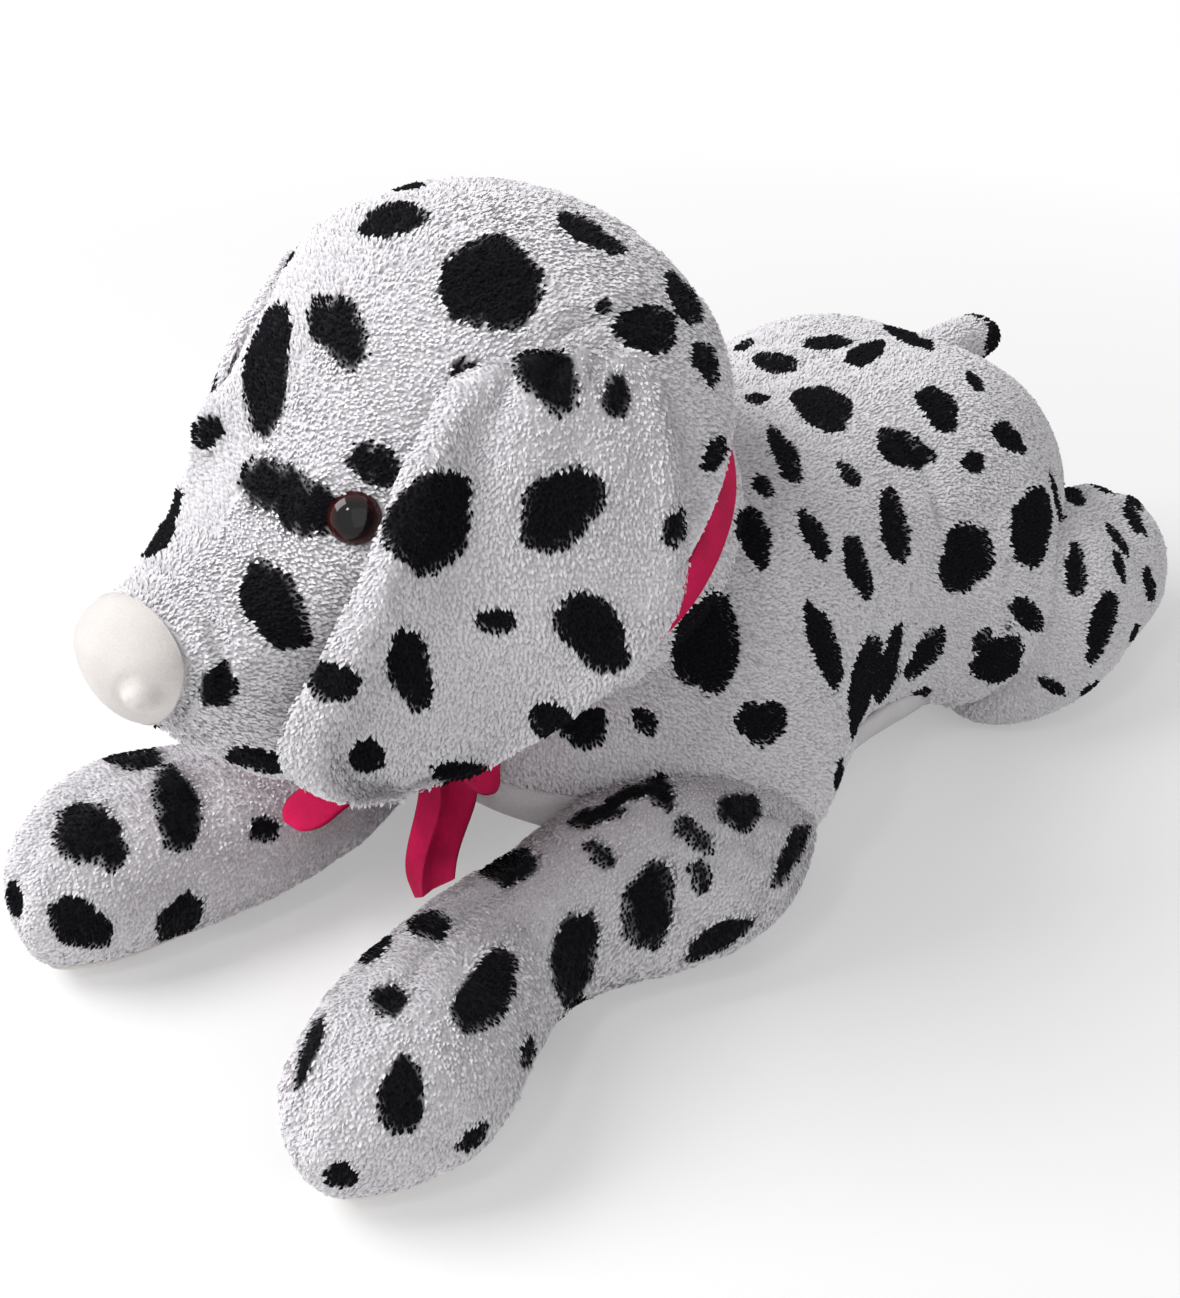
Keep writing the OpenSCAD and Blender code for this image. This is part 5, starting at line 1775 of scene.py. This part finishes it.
@dataclass
class Neck:
    """The stuffed neck: a barrel of pile under the ribbon."""

    kit: Kit | None = None
    heights: tuple[float, ...] = (-84, -80, -66, -50, -36, -22, -10, 0, 8, 11, 14, 17, 20, 23, 25, 26)
    radii: tuple[float, ...] = (0, 36, 63, 77, 85, 88.4, 89.2, 89.2, 89.2, 89.8, 90.8, 92, 93, 93.4, 91, 0)
    ribbon_half: float = 9.5
    fringe: float = 15.0

    def shape(self) -> Skin:
        """The profile of heights and radii turned about the neck's axis, closed on the axis at both ends."""
        h, r = np.array(self.heights), np.array(self.radii)
        run = np.concatenate([[0.0], np.cumsum(np.hypot(np.diff(h), np.diff(r)))])
        fine = np.linspace(0, run[-1], 110)
        h, r = np.interp(fine, run, h), np.interp(fine, run, r)
        a = np.linspace(0, 2 * np.pi, 180, endpoint=False)
        way = neck_spokes(a)
        return Skin("neck", NECK_AT + way[None] * r[:, None, None] + NECK_AXIS * h[:, None, None])

    def build(self, skin: Skin) -> None:
        """Makes and dresses the barrel and its pile on both sides of the ribbon."""
        k = self.kit
        barrel = k.backing(skin, "body", name="neck_stuffed")
        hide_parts("stuffed_neck")

        def clear(p: Array) -> Array:
            """Roots beside the ribbon, outside the body and the head."""
            h, r = neck_place(p)
            return ((h < -self.ribbon_half) | (h > self.fringe)) & (r > 74) & (TORSO.depth(p) > 0.95)

        made = k.tufts(skin, "body", -NECK_AXIS, Keep(clear), 50, {"neck_pile": Keep()})
        for piece in (barrel, made["neck_pile"]):
            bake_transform(piece)


@dataclass
class Ribbon:
    """The felt ribbon: a band round the neck, a knot, two bow loops and two loose ends."""

    kit: Kit | None = None
    radius: float = 91.4
    width: float = 20.0
    thick: float = 1.4
    bow_y: float = -234.8
    bow_z: float = 130.4
    bow_w: float = 28.0
    knot_d: float = 24.0
    loop_l: float = 42.0
    loop_h: float = 14.0
    end_z: float = 115.6
    left_l: float = 86.0
    right_l: float = 78.0
    right_drop: float = 24.0
    right_bend: float = 10.0
    right_in: float = 16.0
    right_droop: float = 7.0
    left_in: float = 6.0
    left_fold: float = 7.0
    left_slant: float = 26.0

    def finish(self, obj: bpy.types.Object, body: str,
               node: str) -> None:
        """Dresses a ribbon piece and logs its number of faces.

        Args:
            obj: The piece.
            body: The body that carries it.
            node: The CAD node that it replaces.
        """
        self.kit.wardrobe.dress(obj, Surface.RIBBON, self.kit.wardrobe.ribbon)
        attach(obj, body)
        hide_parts(node)
        log.info("%s: %d faces", obj.name, len(obj.data.polygons))

    def band(self) -> None:
        """The band: a closed ring round the neck's axis, with slightly wavy edges."""
        a = np.linspace(0, 2 * np.pi, 240, endpoint=False)
        c = np.linspace(0, 2 * np.pi, 28, endpoint=False)
        way = neck_spokes(a)
        wide, high = signed_power(np.cos(c), 0.3), signed_power(np.sin(c), 0.5)
        wave = 0.5 * np.sin(7 * a) + 0.4 * np.sin(11 * a + 1)
        r = self.radius + self.thick / 2 * high[None] + 0.35 * wave[:, None] * wide[None] ** 2
        h = self.width / 2 * wide[None] + 0.4 * np.sin(5 * a)[:, None] * np.abs(wide)[None]
        rings = NECK_AT + way[:, None] * r[..., None] + NECK_AXIS * h[..., None]
        number = np.arange(rings.shape[0] * rings.shape[1]).reshape(rings.shape[:2])
        faces = cells(number, np.roll(number, -1, axis=0))
        obj = make_mesh("neck_ribbon_band", rings.reshape(-1, 3), faces)
        self.finish(obj, "torso", "neck_ribbon")

    def knot(self) -> None:
        """The knot: a short band wrapped round the bow's middle, gathered at its sides."""
        a = np.linspace(0, 2 * np.pi, 61)
        y, z = self.knot_d / 2 - 1.2, self.bow_w / 2 - 3
        path = np.stack([np.zeros_like(a), self.bow_y + y * signed_power(np.cos(a), 0.8),
                         self.bow_z + z * signed_power(np.sin(a), 0.8)], -1)
        face = unit(np.stack([np.zeros_like(a), np.cos(a), np.sin(a)], -1))
        half = 9.5 + 0.8 * np.sin(3 * a)
        across = np.stack([half, np.zeros_like(a), np.zeros_like(a)], -1)
        skin = strip("ribbon_knot_wrap", path, across, face, self.thick)
        self.finish(skin.mesh(), "torso", "ribbon_knot")

    def loop(self, side: Side) -> None:
        """A bow loop: the ribbon out along its front, round the end and back, wider away from the knot."""
        t = np.linspace(0, 1, 70)
        pinch, r = self.knot_d / 2 - 3, self.loop_h / 2 - self.thick / 2
        reach = self.loop_l + self.knot_d / 2 - self.loop_h / 2
        angle = np.clip((t - 0.4) / 0.2, 0, 1) * np.pi
        out = np.where(t < 0.4, t / 0.4, np.where(t > 0.6, (1 - t) / 0.4, 1.0))
        x = pinch + (reach - pinch) * out + r * np.sin(angle)
        y = -np.cos(angle) * r * (0.15 + 0.85 * smooth(out))
        droop = -4.0 * (x / self.loop_l) ** 2
        path = np.stack([side.value * x, self.bow_y + y, self.bow_z + droop], -1)
        wide = 8.0 + 6.0 * smooth((x - pinch) / 20)
        across = np.stack([np.zeros_like(t), np.zeros_like(t), wide], -1)
        slope = unit(np.gradient(path, axis=0))
        face = unit(np.cross(slope, [0.0, 0.0, 1.0]))
        skin = strip(f"bow_loop_{side.word}_felt", path, across, face, self.thick)
        self.finish(skin.mesh(), "torso", f"bow_loop_{side.word}")

    def left_end(self) -> None:
        """The left end hangs in a slow wave, and one half laps over the other."""
        t = np.linspace(0, 1, 60)
        y = self.bow_y + 4 * np.sin(2 * np.pi * t) - 6 * t * t
        path = np.stack([self.left_in + self.bow_w / 2 - 3 * t, y, self.end_z - self.left_l * t], -1)
        turn = np.radians(8 + 30 * np.sin(np.pi * t))
        half = self.bow_w / 2 * (1 - 0.1 * t)
        across = np.stack([half * np.cos(turn), half * np.sin(turn), np.zeros_like(t)], -1)
        face = unit(np.cross(np.gradient(path, axis=0), across))
        skin = strip("ribbon_end_left_felt", path, across, face, self.thick, 48, self.left_fold)
        row = np.concatenate([[0.0], t, [1.0]])[:, None]
        share = np.clip((skin.points[..., 0] - self.left_in) / self.bow_w, 0, 1)
        skin.points[..., 2] += self.left_slant * row ** 2 * share
        self.finish(skin.mesh(), "ribbon_end_left", "ribbon_end_left")

    def right_end(self) -> None:
        """The right end bends forwards under the chin and has a rounded tip."""
        s = np.linspace(0, self.right_l, 60)
        bent = np.maximum(0.0, s - self.right_drop)
        turn = np.minimum(np.pi / 2, bent / self.right_bend)
        past = np.maximum(0.0, bent - self.right_bend * np.pi / 2)
        y = self.bow_y - self.right_bend * (1 - np.cos(turn)) - past
        droop = self.right_droop * (past / past[-1]) ** 2
        z = self.end_z - np.minimum(s, self.right_drop) - self.right_bend * np.sin(turn) - droop
        path = np.stack([np.full_like(s, -self.right_in - self.bow_w / 2), y, z], -1)
        tip = np.maximum(0, (s - self.right_l + 12) / 13)
        half = self.bow_w / 2 * np.sqrt(np.clip(1 - tip ** 2, 0.01, 1))
        across = np.stack([half, np.zeros_like(s), np.zeros_like(s)], -1)
        face = unit(np.cross(np.gradient(path, axis=0), across))
        skin = strip("ribbon_end_right_felt", path, across, face, self.thick)
        self.finish(skin.mesh(), "ribbon_end_right", "ribbon_end_right")

    def build(self) -> None:
        """Makes every piece of the ribbon."""
        self.band()
        self.knot()
        for side in Side:
            self.loop(side)
        self.left_end()
        self.right_end()


@dataclass(frozen=True)
class Lamp:
    """A square lamp turned to the object: its place and size in metres, and its power in watts."""

    name: str
    place: tuple[float, float, float]
    size: float
    power: float
    goal: tuple[float, float, float] = (0.0, -0.05, 0.12)

    def make(self) -> None:
        """Adds the lamp to the scene."""
        data = bpy.data.lights.new(self.name, "AREA")
        data.size = self.size
        data.energy = self.power
        lamp = bpy.data.objects.new(self.name, data)
        lamp.location = self.place
        ahead = Vector(self.goal) - Vector(self.place)
        lamp.rotation_euler = ahead.to_track_quat("-Z", "Y").to_euler()
        bpy.context.collection.objects.link(lamp)


LAMPS: tuple[Lamp, ...] = (
    Lamp("key", (-0.9, -1.3, 1.8), 1.3, 44.0), Lamp("fill", (1.7, -0.9, 1.1), 1.8, 5.0),
    Lamp("back", (-0.2, 1.6, 1.8), 1.6, 5.0), Lamp("glint", (0.5, -1.5, 1.7), 0.22, 4.0),
)


@dataclass(frozen=True)
class Studio:
    """A pale floor, a white surround and soft lamps."""

    floor: float = 6.0
    below: float = 0.0004
    light: float = 0.33

    def build(self) -> None:
        """Makes the floor, the world and the lamps."""
        x, y = np.meshgrid([-self.floor, self.floor], [-self.floor, self.floor])
        points = np.stack([x.ravel(), y.ravel(), np.full(4, -self.below)], -1) / MM
        floor = make_mesh("studio_floor", points, np.array([[0, 1, 3], [0, 3, 2]]))
        material = bpy.data.materials.new("pale_floor")
        material.use_nodes = True
        n = Nodes(material.node_tree)
        where = n.add("ShaderNodeTexCoord").outputs["Object"]
        noise = n.add("ShaderNodeTexNoise", Vector=where, Scale=3.0, Detail=2.0).outputs[0]
        pale = n.mix(noise, (0.94, 0.94, 0.94), (0.96, 0.96, 0.96))
        shader = n.add("ShaderNodeBsdfPrincipled", Base_Color=pale, Roughness=0.9)
        far = n.add("ShaderNodeVectorMath", settings={"operation": "LENGTH"}, n0=where).outputs["Value"]
        white = n.math("MULTIPLY", n.span(far, 0.35, 0.95, 0.35, 1.0), self.seen(n))
        glow = n.add("ShaderNodeEmission", Color=(1, 1, 1, 1), Strength=1.0)
        both = n.add("ShaderNodeMixShader", n0=white, n1=shader.outputs[0], n2=glow.outputs[0])
        n.add("ShaderNodeOutputMaterial", Surface=both.outputs[0])
        floor.data.materials.append(material)
        self.world()
        for lamp in LAMPS:
            lamp.make()

    def seen(self, n: Nodes) -> bpy.types.NodeSocket:
        """1 for what the camera sees straight, in a reflection or through glass, and 0 for other light."""
        path = n.add("ShaderNodeLightPath")
        mirrored = n.math("MAXIMUM", path.outputs["Is Glossy Ray"], path.outputs["Is Transmission Ray"])
        return n.math("MAXIMUM", path.outputs["Is Camera Ray"], mirrored)

    def world(self) -> None:
        """A white world to the camera, and softer white light on the object."""
        world = bpy.data.worlds.new("surround")
        bpy.context.scene.world = world
        world.use_nodes = True
        n = Nodes(world.node_tree)
        strength = n.span(self.seen(n), 0.0, 1.0, self.light, 1.0)
        back = n.add("ShaderNodeBackground", Color=(1, 1, 1, 1), Strength=strength)
        n.add("ShaderNodeOutputWorld", Surface=back.outputs[0])


def legs(kit: Kit | None) -> list[Leg]:
    """The four legs with their bodies, seams and roots.

    Args:
        kit: Materials, pile and markings, or None while the covers are only shaped.

    Returns:
        The legs.
    """
    made = []
    for side in Side:
        x = side.value
        fore, hind = f"{side.word}_foreleg", f"{side.word}_hindleg"
        made.append(Leg(kit, fore, fore, "forepaw", FORELEG.mirrored(side), side, x * 98.0, -1,
                        root=(x * 96, -112, 50), bend_end=(x * 84, -205, 50)))
        made.append(Leg(kit, hind, hind, "hindpaw", HINDLEG.mirrored(side), side, x * 85.0, 1,
                        root=(x * 84, 106, 50), bend_end=(x * 86, 176, 50)))
    return made


def main() -> None:
    """Shapes the covers, casts the spots on them, and builds each sub-assembly in order."""
    logging.basicConfig(level=logging.INFO, format="%(message)s")
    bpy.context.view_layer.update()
    bpy.context.scene.view_settings.view_transform = "Standard"
    PHOTO.make()
    Studio().build()
    limbs = legs(None)
    flatter = {"lift": 2.0, "front_lift": 5.0, "tip_lift": 1.0, "opens_by": 0.8, "root_sink": 6.0}
    ears = [Ear(None, Side.LEFT, LEFT_EAR), Ear(None, Side.RIGHT, RIGHT_EAR, **flatter)]
    torso, head, tail, neck = Torso(), Head(), Tail(), Neck()
    covers = {part.__class__.__name__.lower(): part.shape() for part in (torso, head, tail, neck)}
    covers |= {leg.name: leg.shape() for leg in limbs} | {e.side.word + "_ear": e.shape() for e in ears}
    groups = {name: "body" for name in covers} | {"head": "head", "tail": "tail"}
    groups |= {"left_ear": "left_ear", "right_ear": "right_ear"}
    log.info("covers shaped: %s", ", ".join(covers))
    press_creases(covers)
    markings = Markings(covers, groups)
    markings.cast()
    markings.scatter()
    tail.mark(markings)
    log.info("spots: %d read from the photograph, %d in all", len(SPOTS), len(markings.owners))
    kit = Kit(Wardrobe(), Pile(), markings)
    for part in (torso, head, tail, neck, *limbs, *ears):
        part.kit = kit
    torso.build(covers["torso"], {leg.name: leg.form for leg in limbs})
    head.build(covers["head"])
    for leg in limbs:
        leg.build(covers[leg.name], TORSO)
    tail.build(covers["tail"])
    for ear in ears:
        ear.build(covers[ear.side.word + "_ear"])
    neck.build(covers["neck"])
    Ribbon(kit).build()
    log.info("all pieces made")


if __name__ == "__main__":
    main()
